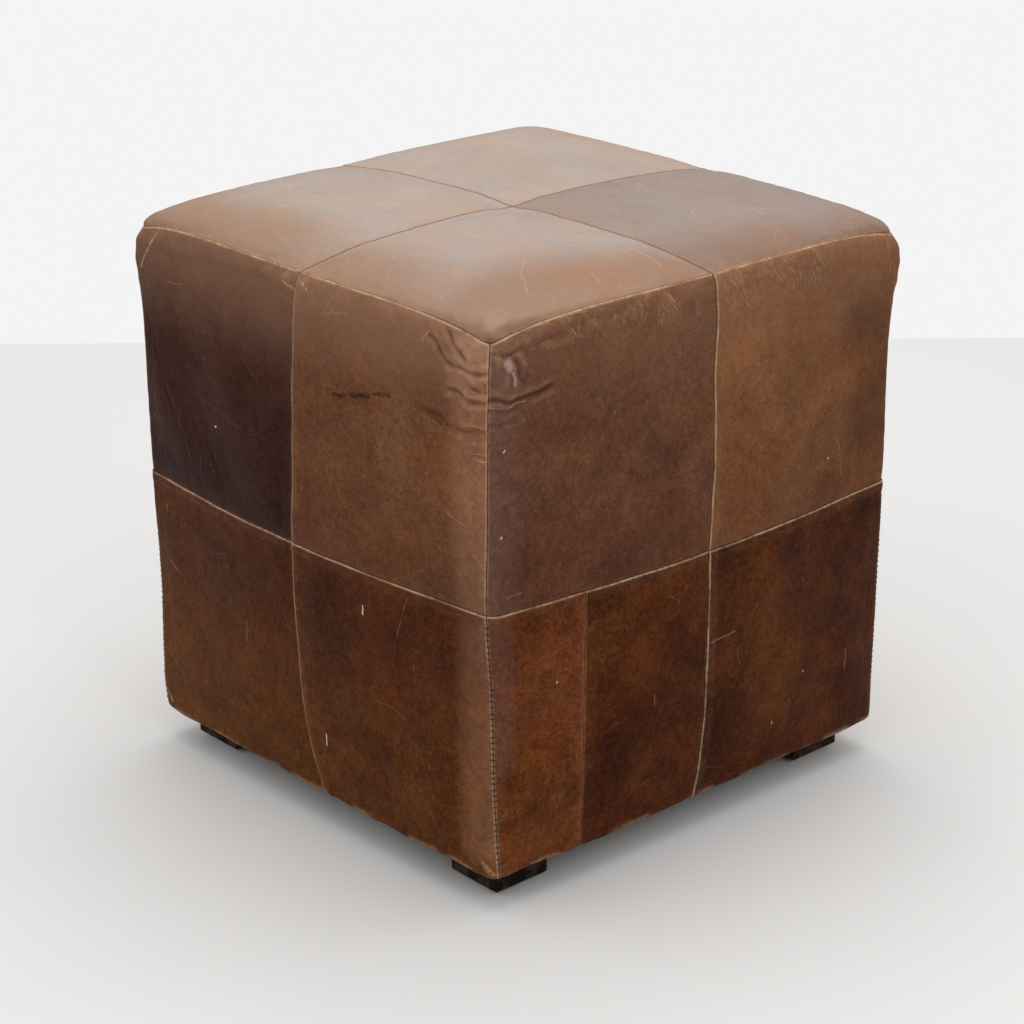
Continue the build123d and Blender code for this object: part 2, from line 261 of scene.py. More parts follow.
# ---- Noise --------------------------------------------------------------------------------------
def ripples(points, seed, longest, shortest, count=28):
    """Smooth unevenness between about -1 and 1, from waves whose lengths lie between two limits."""
    random = np.random.default_rng(seed)
    total = np.zeros(points.shape[:-1])
    for _ in range(count):
        length = longest * (shortest / longest) ** random.random()
        way = random.normal(size=3)
        way /= np.linalg.norm(way)
        total += np.sin(points @ way * 2 * math.pi / length + random.uniform(0, 2 * math.pi))
    return total / math.sqrt(count / 2) * 0.6


# ---- Swelling of the padded cover ----------------------------------------------------------------
SIM_COLUMNS, SIM_ROWS = 56, 60
SIM_FRAMES = 18
SWELL_LIMIT = 4.5 * MM
# How firmly each seam holds the cover while it swells, from 0 to 1
HELD_AT_MIDDLE, HELD_AT_WAIST, HELD_AT_CORNER, HELD_AT_TOP, HELD_AT_CROSS = 0.75, 0.8, 0.85, 0.9, 0.7


def cover_net(columns, rows, inset=0.0, lowest=0.0):
    """The whole cover as one welded net of points: four sides from the hem up, then the seat.

    Returns points, faces, and where each side's and the seat's grid points are among them.
    """
    u = np.linspace(-1, 1, columns + 1)
    rise = np.linspace(lowest, SEAM_RISE, rows + 1)
    grids = [side_base(side, u[None, :-1], rise[:, None]) for side in SIDES]
    ring = np.concatenate(grids, axis=1)
    ring_index = np.arange(ring.shape[0] * ring.shape[1]).reshape(ring.shape[:2])
    side_index = [
        np.take(ring_index, range(i * columns, (i + 1) * columns + 1), axis=1, mode="wrap")
        for i in range(len(SIDES))
    ]
    half = columns // 2
    seat = np.zeros((columns + 1, columns + 1, 3))
    for x_sign, y_sign in CORNERS.values():
        share = np.linspace(0, 1, half + 1)
        quarter = seat_base(x_sign, y_sign, share[None, :], share[:, None])
        xs = half + x_sign * np.arange(half + 1)
        ys = half + y_sign * np.arange(half + 1)
        seat[np.ix_(ys, xs)] = quarter
    seat_index = np.zeros((columns + 1, columns + 1), int)
    seat_index[1:-1, 1:-1] = ring_index.size + np.arange((columns - 1) ** 2).reshape(columns - 1, -1)
    front, right, back, left = (index[-1] for index in side_index)
    seat_index[0, :], seat_index[:, -1] = front, right
    seat_index[-1, :], seat_index[:, 0] = back[::-1], left[::-1]
    points = np.concatenate([ring.reshape(-1, 3), seat[1:-1, 1:-1].reshape(-1, 3)])
    faces = [quads_of(index) for index in (*side_index, seat_index)]
    if inset:
        points = points - net_normals(points, np.concatenate(faces)) * inset
    return points, np.concatenate(faces), side_index, seat_index


def quads_of(index):
    """Faces between neighbouring points of a grid."""
    corners = [index[:-1, :-1], index[:-1, 1:], index[1:, 1:], index[1:, :-1]]
    return np.stack(corners, axis=-1).reshape(-1, 4)


def unit(vectors):
    return vectors / np.maximum(np.linalg.norm(vectors, axis=-1, keepdims=True), 1e-12)


def closed(faces, rim, count):
    """Faces of a thin solid: its skin, a second skin count points later, and a strip between their rims."""
    after = np.roll(rim, -1)
    strip = np.stack([after, rim, rim + count, after + count], axis=-1)
    return np.concatenate([faces, faces[:, ::-1] + count, strip])


def net_normals(points, faces):
    corners = points[faces]
    face_normals = np.cross(corners[:, 2] - corners[:, 0], corners[:, 3] - corners[:, 1])
    normals = np.zeros_like(points)
    for i in range(4):
        np.add.at(normals, faces[:, i], face_normals)
    return unit(normals)


def mesh_object(name, points, faces):
    mesh = bpy.data.meshes.new(name)
    mesh.from_pydata(points, [], faces)
    mesh.shade_smooth()
    piece = bpy.data.objects.new(name, mesh)
    bpy.context.scene.collection.objects.link(piece)
    return piece


def softened(grid, times=2):
    """A grid of values with each blended into its neighbours."""
    for _ in range(times):
        padded = np.pad(grid, 1, mode="edge")
        grid = (padded[:-2, 1:-1] + padded[2:, 1:-1] + padded[1:-1, :-2] + padded[1:-1, 2:] + 2 * grid) / 6
    return grid


CLOTH = dict(
    quality=5,
    mass=0.4,
    tension_stiffness=25,
    compression_stiffness=25,
    shear_stiffness=15,
    bending_stiffness=1.5,
    vertex_group_mass="seams",
    pin_stiffness=6,
    vertex_group_shrink="slack",
    shrink_min=0.0,
    shrink_max=-0.035,  # a negative shrink is spare leather
    use_pressure=True,
    uniform_pressure_force=1.2,
)


def add_weights(net, name, weights):
    """Adds a named group of the net's points with a weight each."""
    group = net.vertex_groups.new(name=name)
    for i in np.flatnonzero(weights):
        group.add([int(i)], float(weights[i]), "REPLACE")


def swell():
    """Runs the cover as cloth, held at its seams and pushed out by the padding.

    Returns how far each side's and the seat's grid points move along the surface's normals.
    """
    points, faces, side_index, seat_index = cover_net(SIM_COLUMNS, SIM_ROWS)
    net = mesh_object("cover_net", points, faces)
    held = np.zeros(len(points))
    waist_row = round(WAIST_RISE / SEAM_RISE * SIM_ROWS)
    middle = SIM_COLUMNS // 2
    for index in side_index:
        held[index[:, middle]] = HELD_AT_MIDDLE
        held[index[waist_row]] = HELD_AT_WAIST
        held[index[:, [0, -1]]] = HELD_AT_CORNER
        held[index[-1]] = HELD_AT_TOP
        held[index[:2]] = 1
    held[seat_index[middle]] = held[seat_index[:, middle]] = HELD_AT_CROSS
    add_weights(net, "seams", held)
    near_corner = np.abs(points[:, 0] * points[:, 1]) / CORNER_HALF**2
    near_corner *= smooth_step(points[:, 2], 0.30, 0.46)
    slack = np.clip(0.35 + 0.65 * near_corner + 0.35 * ripples(points, 5, 0.30, 0.12), 0, 1)
    add_weights(net, "slack", slack)

    cloth = net.modifiers.new("cloth", "CLOTH")
    for key, value in CLOTH.items():
        setattr(cloth.settings, key, value)
    cloth.settings.effector_weights.gravity = 0
    cloth.collision_settings.use_collision = False
    scene = bpy.context.scene
    for number in range(1, SIM_FRAMES + 1):
        scene.frame_set(number)
    shaped = net.evaluated_get(bpy.context.evaluated_depsgraph_get())
    moved = np.zeros(len(points) * 3)
    shaped.data.vertices.foreach_get("co", moved)
    moved = moved.reshape(-1, 3)
    scene.frame_set(1)
    bpy.data.objects.remove(net)
    along = np.sum((moved - points) * net_normals(points, faces), axis=1)
    along = SWELL_LIMIT * np.tanh(along / SWELL_LIMIT)
    return [softened(along[index]) for index in side_index], softened(along[seat_index])


def sampled(grid, row, column):
    """Values between a grid's points; row and column are places in it, from 0 to its size less one."""
    row = np.clip(row, 0, grid.shape[0] - 1.001)
    column = np.clip(column, 0, grid.shape[1] - 1.001)
    i, j = row.astype(int), column.astype(int)
    a, b = smooth_share(row - i), smooth_share(column - j)
    low = grid[i, j] * (1 - b) + grid[i, j + 1] * b
    return low * (1 - a) + (grid[i + 1, j] * (1 - b) + grid[i + 1, j + 1] * b) * a


side_swell, seat_swell = swell()


def side_swelling(side, u, rise):
    u, rise = np.broadcast_arrays(u, rise)
    grid = side_swell[SIDES.index(side)]
    fade = smooth_step(rise, 0, 0.030)
    return fade * sampled(grid, rise / SEAM_RISE * SIM_ROWS, (u + 1) / 2 * SIM_COLUMNS)


def seat_swelling(x_sign, y_sign, p, q):
    p, q = np.broadcast_arrays(p, q)
    return sampled(seat_swell, (y_sign * q + 1) / 2 * SIM_COLUMNS, (x_sign * p + 1) / 2 * SIM_COLUMNS)


# ---- Creases -------------------------------------------------------------------------------------
# Bent into each side: a line of (across, height) places, then width and depth, all in mm
CREASES = {
    "front": [
        ([(-198, 378), (-188, 356), (-172, 328), (-157, 298), (-147, 280)], 1.8, 0.30),
        ([(-174, 350), (-117, 342), (-66, 333), (-17, 333)], 2.0, 0.20),
        ([(-193, 395), (-130, 402), (-59, 410)], 3.0, 0.25),
        ([(-150, 330), (-110, 300), (-95, 268)], 3.0, 0.25),
        ([(154, 470), (174, 456), (196, 446)], 1.8, 1.5),
        ([(174, 474), (192, 460), (210, 450)], 1.6, 1.4),
        ([(186, 448), (208, 446), (236, 449)], 1.7, 1.5),
        ([(200, 437), (214, 433), (236, 434)], 1.4, 1.1),
        ([(178, 430), (206, 424), (238, 424)], 1.7, 1.5),
        ([(138, 410), (178, 404), (200, 396), (240, 402)], 3.2, 1.3),
        ([(190, 396), (212, 402), (236, 403)], 1.5, 1.0),
        ([(198, 379), (214, 380), (234, 380)], 1.2, 0.9),
        ([(60, 452), (110, 446), (150, 436)], 5.0, 0.5),
        ([(-200, 452), (-178, 458), (-150, 455)], 3.4, 0.6),
        ([(-213, 415), (-200, 420), (-188, 417)], 3.0, 0.6),
        ([(14, 300), (22, 312), (40, 318)], 3.0, 0.5),
    ],
    "right": [
        ([(-190, 459), (-160, 464), (-124, 470), (-80, 472)], 3.6, 1.1),
        ([(-236, 463), (-208, 458), (-190, 463)], 1.5, 1.2),
        ([(-208, 464), (-198, 446), (-188, 430)], 1.8, 1.3),
        ([(-240, 427), (-208, 424), (-188, 425), (-160, 430)], 1.9, 2.0),
        ([(-236, 419), (-208, 417), (-186, 421)], 1.3, 1.1),
        ([(-236, 408), (-212, 408), (-198, 411)], 1.3, 1.1),
        ([(-222, 393), (-210, 392), (-202, 389)], 1.6, 0.7),
        ([(40, 364), (62, 363), (86, 355)], 1.6, 0.3),
        ([(8, 41), (30, 40), (58, 41)], 1.8, 0.4),
        ([(176, 466), (192, 462), (206, 455)], 4.0, 0.6),
        ([(-50, 452), (0, 458), (60, 455)], 6.0, 0.5),
    ],
    "back": [
        ([(-205, 440), (-180, 452), (-150, 455)], 3.2, 1.1),
        ([(-218, 412), (-200, 414), (-186, 408)], 2.8, 1.0),
        ([(180, 445), (200, 450), (216, 442)], 3.0, 1.3),
        ([(196, 418), (210, 422), (221, 421)], 2.6, 1.0),
        ([(30, 380), (70, 362), (96, 330)], 3.6, 0.5),
        ([(-150, 120), (-110, 132), (-70, 128)], 4.0, 0.4),
    ],
    "left": [
        ([(-214, 432), (-200, 438), (-182, 434)], 2.8, 1.2),
        ([(-219, 408), (-206, 410), (-194, 404)], 2.6, 0.9),
        ([(172, 452), (196, 456), (216, 446)], 3.2, 1.2),
        ([(200, 424), (212, 428), (221, 427)], 2.6, 0.8),
        ([(-120, 350), (-80, 322), (-60, 290)], 3.6, 0.6),
        ([(60, 440), (110, 448), (160, 446)], 5.0, 0.5),
    ],
}
SEAT_CREASES = [  # (x, y) places from above
    ([(140, -112), (160, -130), (196, -160)], 3.0, 0.35),
    ([(150, -20), (192, -30), (214, -40)], 2.6, 0.4),
    ([(-160, -150), (-120, -168), (-70, -172)], 4.0, 0.35),
    ([(60, 120), (100, 150), (150, 160)], 4.0, 0.35),
    ([(-150, 60), (-120, 100), (-118, 150)], 4.0, 0.35),
]


def line_distance(across, up, line):
    """Distance from places to a line of straight stretches."""
    nearest = np.full(across.shape, np.inf)
    for (x0, y0), (x1, y1) in zip(line, line[1:]):
        dx, dy = x1 - x0, y1 - y0
        share = np.clip(((across - x0) * dx + (up - y0) * dy) / (dx * dx + dy * dy), 0, 1)
        nearest = np.minimum(nearest, np.hypot(across - x0 - share * dx, up - y0 - share * dy))
    return nearest


CREASE_WOBBLE = 1.6  # how far creases stray from their lines, in mm


def crease_height(across, up, creases, base):
    """Height of the leather's creases: valleys with a low swell beside them, that fade at their ends."""
    height = np.zeros_like(across)
    wobble = CREASE_WOBBLE * ripples(base, 41, 0.05, 0.015)
    for line, width, depth in creases:
        distance = line_distance(across + wobble, up + wobble, line)
        profile = -np.exp(-((distance / width) ** 2))
        profile += 0.45 * np.exp(-(((distance - 2.3 * width) / (1.3 * width)) ** 2))
        for x, y in (line[0], line[-1]):
            profile *= smooth_step(np.hypot(across - x, up - y), 0, 7 * width)
        height += depth * profile
    return height * MM


# ---- Panels -------------------------------------------------------------------------------------
GRID_STEP = 1.9 * MM
FINE_STEPS = np.cumsum([0, 0.35, 0.35, 0.4, 0.5, 0.65, 0.85, 1.1, 1.4]) * MM
OVERLAP = 0.25 * MM  # sewn edges run this far past the seam's line


def spaced(length):
    """Shares of a length for a panel's rows, close together at both ends where the seams are."""
    inner = length - 2 * FINE_STEPS[-1]
    middle = np.linspace(0, 1, max(2, round(inner / GRID_STEP)) + 1)[1:-1] * inner + FINE_STEPS[-1]
    return np.concatenate([FINE_STEPS, middle, length - FINE_STEPS[::-1]]) / length


def grid_normals(points, flip):
    """Outward directions at a grid's points; flip for a grid whose rows and columns turn the other way."""
    along, up = np.gradient(points, axis=1), np.gradient(points, axis=0)
    return unit(np.cross(along, up) * (-1 if flip else 1))


def lengths_from(points, axis):
    """Length along the surface from the first row or column to each."""
    steps = np.linalg.norm(np.diff(points, axis=axis), axis=-1)
    zero = np.zeros_like(np.take(steps, [0], axis=axis))
    return np.concatenate([zero, np.cumsum(steps, axis=axis)], axis=axis)


EDGES = ("left", "right", "bottom", "top")


def edge_distances(points):
    """Distance along the surface from each edge of a grid to its points."""
    across, up = lengths_from(points, 1), lengths_from(points, 0)
    return dict(zip(EDGES, (across, across[:, -1:] - across, up, up[-1:] - up)))


USUAL_SEAM = dict(
    turn=1.5, sink=1.5, pull=0.9, lift=0.0, band=9.0, gather=0.25, rub_width=0.8, groove_width=0.6
)


class Seam:
    """How a panel's edge looks. Lengths are given in mm and kept in metres.

    turn and sink: its rounded edge; pull: how far the seam draws it in; lift and band: the allowance
    under it; gather: puckers; rub, groove and their widths: how strongly it is worn and how dark its
    painted shade is.
    """

    def __init__(self, rub=0.0, groove=1.0, **lengths):
        for key, length in (USUAL_SEAM | lengths).items():
            setattr(self, key, length * MM)
        self.rub, self.groove = rub, groove


PULL_REACH = 8.0 * MM


def pulled_in(distance, seam):
    """How far a seam draws the leather beside it inwards."""
    return seam.pull * np.exp(-((distance / PULL_REACH) ** 1.2))


def seam_height(distance, seam, base):
    """Height of the leather beside a seam: turned under, pulled in, puckered, lifted by the allowance."""
    turn = np.clip(distance / seam.turn, 0, 1)
    height = -seam.sink * (1 - np.sqrt(1 - (1 - turn) ** 2))
    height -= pulled_in(distance, seam) * (1 + 0.5 * ripples(base, 31, 0.12, 0.04))
    uneven_band = seam.band * (1 + 0.18 * ripples(base, 37, 0.09, 0.03))
    height += seam.lift * (1 - smooth_step(distance, uneven_band * 0.72, uneven_band * 1.15))
    pucker = np.exp(-distance / (11 * MM)) * (1 - np.exp(-distance / (2.5 * MM)))
    return height + seam.gather * pucker * ripples(base, 23, 0.026, 0.009)


CRUMPLED_CORNER = CORNERS["front_right"]  # the others are crumpled less
CRUMPLE_ELSEWHERE = 0.30
RELIEF_SCALE = 1.1 * MM  # height above or below its surroundings that counts as full relief


def crumpling(base):
    """How crumpled the leather is, from 0 to 1: most at the corners' tops, a little under the top seam."""
    to_corner = np.abs(base[..., :2]) / CORNER_HALF
    crumple = smooth_step(to_corner.min(axis=-1), 0.72, 0.97) * smooth_step(base[..., 2], 0.365, 0.45)
    nearest = np.sum(base[..., :2] * CRUMPLED_CORNER, axis=-1) / CORNER_HALF
    crumple *= CRUMPLE_ELSEWHERE + (1 - CRUMPLE_ELSEWHERE) * smooth_step(nearest, 1.0, 1.8)
    below_seam = 0.25 * smooth_step(base[..., 2], SEAM_Z - 35 * MM, SEAM_Z - 12 * MM)
    return np.maximum(crumple, below_seam)


def panel_mesh(name, base, seams, swelling, crease, loose=1.0, flip=False, extra_rub=0.0):
    """A panel of leather as a closed shell over base, a grid of outside points, with its edges sewn in."""
    normal = grid_normals(base, flip)
    distances = edge_distances(base)
    inside_edges = smooth_step(np.minimum.reduce(list(distances.values())), 0, 30 * MM)
    crumple = crumpling(base) * loose
    broad = swelling + 0.75 * MM * ripples(base, 11, 0.16, 0.055) * inside_edges
    height = broad + crease + 0.10 * MM * ripples(base, 17, 0.030, 0.012, 40)
    fold_ripples = 0.9 * ripples(base, 19, 0.026, 0.010, 40) + 0.45 * ripples(base, 29, 0.011, 0.006, 40)
    height += crumple * MM * fold_ripples
    body = broad + np.minimum(crease, 0)
    rub, groove, band, near = (np.zeros_like(height) for _ in range(4))
    rub += extra_rub
    for edge, seam in seams.items():
        if seam is None:
            continue
        distance = distances[edge]
        height += seam_height(distance, seam, base)
        body -= pulled_in(distance, seam)
        from_rub = distance - 1.3 * seam.rub_width
        rub = np.maximum(rub, seam.rub * np.exp(-((from_rub / seam.rub_width) ** 2)))
        groove = np.maximum(groove, seam.groove * np.exp(-((distance / seam.groove_width) ** 2)))
        band = np.maximum(band, seam.rub * (1 - smooth_step(distance, 0.5 * seam.band, 1.5 * seam.band)))
        if edge in ("left", "right"):
            near = np.maximum(near, np.exp(-distance / (4.5 * MM)) * seam.rub)
    relief = np.clip((height - softened(height, 10)) / RELIEF_SCALE, -1, 1)
    outside = base + normal * height[..., None]
    inside = base + normal * (np.minimum(body, height) - LEATHER)[..., None]
    # relief, groove and band also carry painted shade and painted sheen for the material
    wear_and_painted_light = {"rub": rub, "groove": groove, "band": band, "near": near, "crumple": crumple, "relief": relief}
    return shell(name, outside, inside, flip, wear_and_painted_light)


def shell(name, outside, inside, flip, attributes):
    """Two grids of points closed into one thin piece by strips round their rims."""
    rows, columns = outside.shape[:2]
    count = rows * columns
    index = np.arange(count).reshape(rows, columns)
    rim = np.concatenate([index[0, :], index[1:, -1], index[-1, -2::-1], index[-2:0:-1, 0]])
    faces = closed(quads_of(index), rim, count)
    if flip:
        faces = faces[:, ::-1]
    piece = mesh_object(name, np.concatenate([outside.reshape(-1, 3), inside.reshape(-1, 3)]), faces)
    for key, values in attributes.items():
        layer = piece.data.attributes.new(key, "FLOAT", "POINT")
        layer.data.foreach_set("value", np.tile(values.ravel(), 2).astype(np.float32))
    return piece


SIDE_LENGTH = CORNER_HALF - CORNER_RADIUS * (1 - math.pi / 4)  # from a side's middle to its corner seam


def wander(offsets, z):
    """A seam's wander off its true line at a height, as u."""
    return through(SEAM_HEIGHTS, offsets, z) * MM / SIDE_LENGTH


def left_edge(side, z):
    """u of a side's left corner seam, which is its left neighbour's right one."""
    return -1 + wander(CORNER_WANDER[SIDES[SIDES.index(side) - 1]], z)


def middle_edge(side, z):
    return wander(MIDDLE_WANDER[side], z)


def right_edge(side, z):
    return 1 + wander(CORNER_WANDER[side], z)


def splice_edge(_, z):
    return -SPLICE_AT / SIDE_LENGTH + wander(SPLICE_WANDER, z)


# Kinds of seam, for Seam
RIDGE = dict(lift=0.8, rub=1.0)
PLAIN = dict(rub=0.15)
ROUND_CORNER = dict(turn=1.8, pull=0.3, gather=0.15, rub=0.6, rub_width=0.7, groove_width=0.9)
ROUND_RIDGE = ROUND_CORNER | dict(rub=0.95, lift=0.3, band=7.0, rub_width=0.75)
TOP_RIDGE = dict(turn=1.5, sink=1.0, lift=0.7, rub=1.0, band=17.0, groove=0.30, gather=0.6)
SEAT_CROSS = dict(turn=1.1, sink=1.6, pull=0.7, rub=0.3, lift=0.35, band=7.0, groove_width=1.5)
SEAT_EDGE = dict(turn=1.5, sink=1.1, pull=0.5, rub=0.5, groove=0.35, gather=0.5)
SPLICE_SEAM = dict(turn=1.0, sink=1.2, pull=0.25, rub=0.25, gather=0.1)
SPLICE_AT = CORNER_HALF - SPLICE_FROM_CORNER
SPLICE_WANDER = [1, 0.5, 0, -0.5, 0, 0, 0, 0]


leather = {}  # panels, by the CAD node that each stands for


def declare(piece, node):
    """Puts a panel of leather in place of its CAD node: hides the node, hangs the panel on the root body
    and keeps it by the node's name.
    """
    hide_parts(node)
    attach(piece, "root")
    leather[node] = piece


def side_panel(side, level, half, start, end, left_seam, right_seam):
    """One panel of a side, between two lines given as u at each height."""
    low = -TURN_UNDER if level == "lower" else WAIST_RISE - OVERLAP
    high = WAIST_RISE + OVERLAP if level == "lower" else SEAM_RISE + OVERLAP
    rise = low + spaced(high - low) * (high - low)
    z = height_of(rise)
    start, end = start(side, z) - OVERLAP / SIDE_LENGTH, end(side, z) + OVERLAP / SIDE_LENGTH
    share = spaced(float(np.mean(end - start)) * SIDE_LENGTH)
    u = start[:, None] + (end - start)[:, None] * share[None, :]
    rise = np.broadcast_to(rise[:, None], u.shape)
    base = side_base(side, u, rise)
    seams = {
        "left": Seam(**left_seam),
        "right": Seam(**right_seam),
        "top": Seam(**(TOP_RIDGE if level == "upper" else RIDGE)),
        "bottom": Seam(**PLAIN) if level == "upper" else None,
    }
    above_hem = smooth_step(rise, 4 * MM, 14 * MM)
    crease = crease_height(across_on(side, base) / MM, base[..., 2] / MM, CREASES[side], base) * above_hem
    hem_wave = 0.5 * MM * ripples(base, 43, 0.10, 0.04) * np.exp(-(((rise - HEM_ARC) / (14 * MM)) ** 2))
    hem_rub = 0.55 * np.exp(-(((rise - 0.7 * HEM_ARC) / (2.6 * MM)) ** 2))
    hem_rub *= smooth_step(ripples(base, 47, 0.08, 0.02), -0.3, 0.7)
    name = f"{side}_leather_{level}_{half}"
    swelling = side_swelling(side, u, rise)
    piece = panel_mesh(name, base, seams, swelling, crease + hem_wave, extra_rub=hem_rub)
    declare(piece, f"{side}_panel_{level}_{half}")


def build_side(side):
    """A side's panels: two above the waist seam and two below it. One of the right side's is pieced."""
    for level in ("lower", "upper"):
        spans = {
            "left": (left_edge, middle_edge, ROUND_CORNER, PLAIN),
            "right": (middle_edge, right_edge, RIDGE, ROUND_RIDGE),
        }
        if side == "right" and level == "lower":
            spans = {
                "left_strip": (left_edge, splice_edge, ROUND_CORNER, SPLICE_SEAM),
                "left": (splice_edge, middle_edge, SPLICE_SEAM, PLAIN),
                "right": spans["right"],
            }
        for half, span in spans.items():
            side_panel(side, level, half, *span)


def build_seat_quarter(corner):
    """One panel of the seat. Its rows are close together at the cross seams and round its outer edge."""
    x_sign, y_sign = CORNERS[corner]
    roll_turns = np.linspace(SEAT_START, math.pi / 2, 40)[::-1]
    level = CORNER_HALF - SEAT_ROLL
    flat = spaced(level) * level
    flat = flat[flat < level - FINE_STEPS[-1]] - OVERLAP
    rolled = CORNER_HALF - SEAT_ROLL * (1 - np.cos(roll_turns) / math.cos(SEAT_START))
    share = np.concatenate([flat, rolled]) / CORNER_HALF
    p, q = np.meshgrid(share, share)
    base = seat_base(x_sign, y_sign, p, q)
    kinds = (SEAT_CROSS, SEAT_EDGE, SEAT_CROSS, SEAT_EDGE)
    seams = {edge: Seam(**kind) for edge, kind in zip(EDGES, kinds)}
    crease = crease_height(base[..., 0] / MM, base[..., 1] / MM, SEAT_CREASES, base)
    swelling = seat_swelling(x_sign, y_sign, p, q)
    flip = x_sign * y_sign < 0
    piece = panel_mesh(f"seat_leather_{corner}", base, seams, swelling, crease, loose=0.3, flip=flip)
    declare(piece, f"top_panel_{corner}")


for side in SIDES:
    build_side(side)
for corner in CORNERS:
    build_seat_quarter(corner)


# ---- Padding under the leather -------------------------------------------------------------------
BATTING_INSET = 5.2 * MM
BATTING = 3.5 * MM
FOAM_INSET = BATTING_INSET + BATTING + 0.4 * MM
DECK_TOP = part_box("seat_deck")[1].z
BOARD_FACE = -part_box("side_board_front")[0].y


def lowest_ring(side_index):
    """The cover net's points round the underside's opening."""
    return np.concatenate([index[0, :-1] for index in side_index])


def build_batting():
    """Wadding over the frame: two nets joined round the open underside."""
    outside, faces, side_index, _ = cover_net(96, 60, BATTING_INSET, HEM_ARC)
    inside, *_ = cover_net(96, 60, BATTING_INSET + BATTING, HEM_ARC)
    outside = outside + 0.3 * MM * ripples(outside, 51, 0.05, 0.02)[:, None] * net_normals(outside, faces)
    faces = closed(faces, lowest_ring(side_index), len(outside))
    return mesh_object("batting", np.concatenate([outside, inside]), faces)


def build_seat_foam():
    """Foam between the deck and the batting, closed by a fan of faces underneath."""
    underside = DECK_TOP + 0.5 * MM
    points, faces, side_index, _ = cover_net(72, 12, FOAM_INSET, rise_of(underside))
    ring = lowest_ring(side_index)
    points[ring, 2] = underside
    middle = len(points)
    points = np.concatenate([points, [(0, 0, underside)]])
    fan = [(int(b), int(a), middle) for a, b in zip(ring, np.roll(ring, -1))]
    return mesh_object("foam_seat", points, faces.tolist() + fan)


def build_side_foam(side):
    """Foam between a side's board and the batting."""
    u = np.linspace(-1, 1, 73)
    rise = np.linspace(HEM_ARC + 1 * MM, rise_of(DECK_TOP) - 1 * MM, 61)
    base = side_base(side, u[None, :], rise[:, None])
    outside = base - grid_normals(base, False) * FOAM_INSET
    across = np.clip(across_on(side, base), -BOARD_FACE, BOARD_FACE)
    board = turned(side, across, np.full_like(across, BOARD_FACE + 0.3 * MM), outside[..., 2])
    return shell(f"foam_{side}", outside, board, False, {})


DUST_CLOTH = 0.45 * MM
STAPLED_AT = 185 * MM  # from the middle to where the dust cloth is held flat


def build_dust_cover():
    """Thin cloth under the frame, flat at the feet and staples, that sags a little between them."""
    low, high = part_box("dust_cover")
    share = np.linspace(-1, 1, 121)
    x, y = np.meshgrid(share * high.x, share * high.x)
    nearest, furthest = np.minimum(np.abs(x), np.abs(y)), np.maximum(np.abs(x), np.abs(y))
    foot_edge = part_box("foot_front_right")[0].x - 6 * MM
    over_feet = smooth_step(nearest, foot_edge - 25 * MM, foot_edge)
    free = 1 - smooth_step(furthest, 50 * MM, STAPLED_AT)
    spread = smooth_step(STAPLED_AT - furthest, 0, 100 * MM)
    sag = (2.2 * free + 1.2 * spread) * MM * (1 - over_feet)
    flat = np.stack([x, y, np.full_like(x, low.z)], axis=-1)
    slack = 0.7 * MM * ripples(flat, 61, 0.12, 0.03) * spread * (1 - over_feet)
    lower = flat - UP * (sag + slack)[..., None]
    piece = shell("dust_cloth", lower, lower + UP * DUST_CLOTH, True, {})
    return piece


STITCH_PITCH = 5.0 * MM
STITCH_HALF = 2.5 * MM
THREAD = 0.5 * MM
THREAD_SIDES = 8
# Places along a stitch, from -1 to 1, and how thick it is at each
STITCH_SHAPE = ((-1, 0.35), (-0.96, 0.8), (-0.6, 1), (0, 1), (0.6, 1), (0.96, 0.8), (1, 0.35))


def stitch_points(middle, across, reach, tilt):
    """Rings of points along one stitch, which dips into the leather at its ends."""
    out = np.cross(across, UP)
    turns = np.linspace(0, 2 * math.pi, THREAD_SIDES, endpoint=False)
    rings = []
    for share, thickness in STITCH_SHAPE:
        spot = middle + across * share * reach + UP * share * reach * tilt
        spot = spot + out * (-0.2 * MM - 1.1 * MM * share**4)
        ways = [math.cos(turn) * out + math.sin(turn) * UP for turn in turns]
        rings += [spot + THREAD * thickness * way for way in ways]
    return rings


def build_stitches():
    """Rungs of thread across the lower corner seams."""
    random = np.random.default_rng(71)
    points, faces = [], []
    for side in SIDES:
        for rise in np.arange(12 * MM, WAIST_RISE - 6 * MM, STITCH_PITCH):
            seam_u = right_edge(side, height_of(rise))
            middle = side_base(side, seam_u, rise)
            reach = STITCH_HALF * random.uniform(0.75, 1.15)
            ends = [side_base(side, seam_u + way * reach / SIDE_LENGTH, rise) for way in (-1, 1)]
            across = (ends[1] - ends[0]) / np.linalg.norm(ends[1] - ends[0])
            middle = middle + [0, 0, random.normal(0, 0.3 * MM)]
            index = len(points) + np.arange(len(STITCH_SHAPE) * THREAD_SIDES).reshape(-1, THREAD_SIDES)
            points += stitch_points(middle, across, reach, tilt=random.normal(0, 0.10))
            faces += quads_of(np.hstack([index, index[:, :1]])).tolist()
            faces += [index[0, ::-1].tolist(), index[-1].tolist()]
    return mesh_object("corner_stitches", np.array(points), faces)


# The piece that stands for each of these CAD nodes, and its slot
inner_pieces = {
    "batting_wrap": (build_batting(), "batting"),
    "seat_foam": (build_seat_foam(), "foam"),
    **{f"side_foam_{side}": (build_side_foam(side), "foam") for side in SIDES},
    "dust_cover": (build_dust_cover(), "dust_cloth"),
    "corner_seam_thread": (build_stitches(), "waxed_thread"),
}
for node, (piece, slot) in inner_pieces.items():
    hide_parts(node)
    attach(piece, "root")


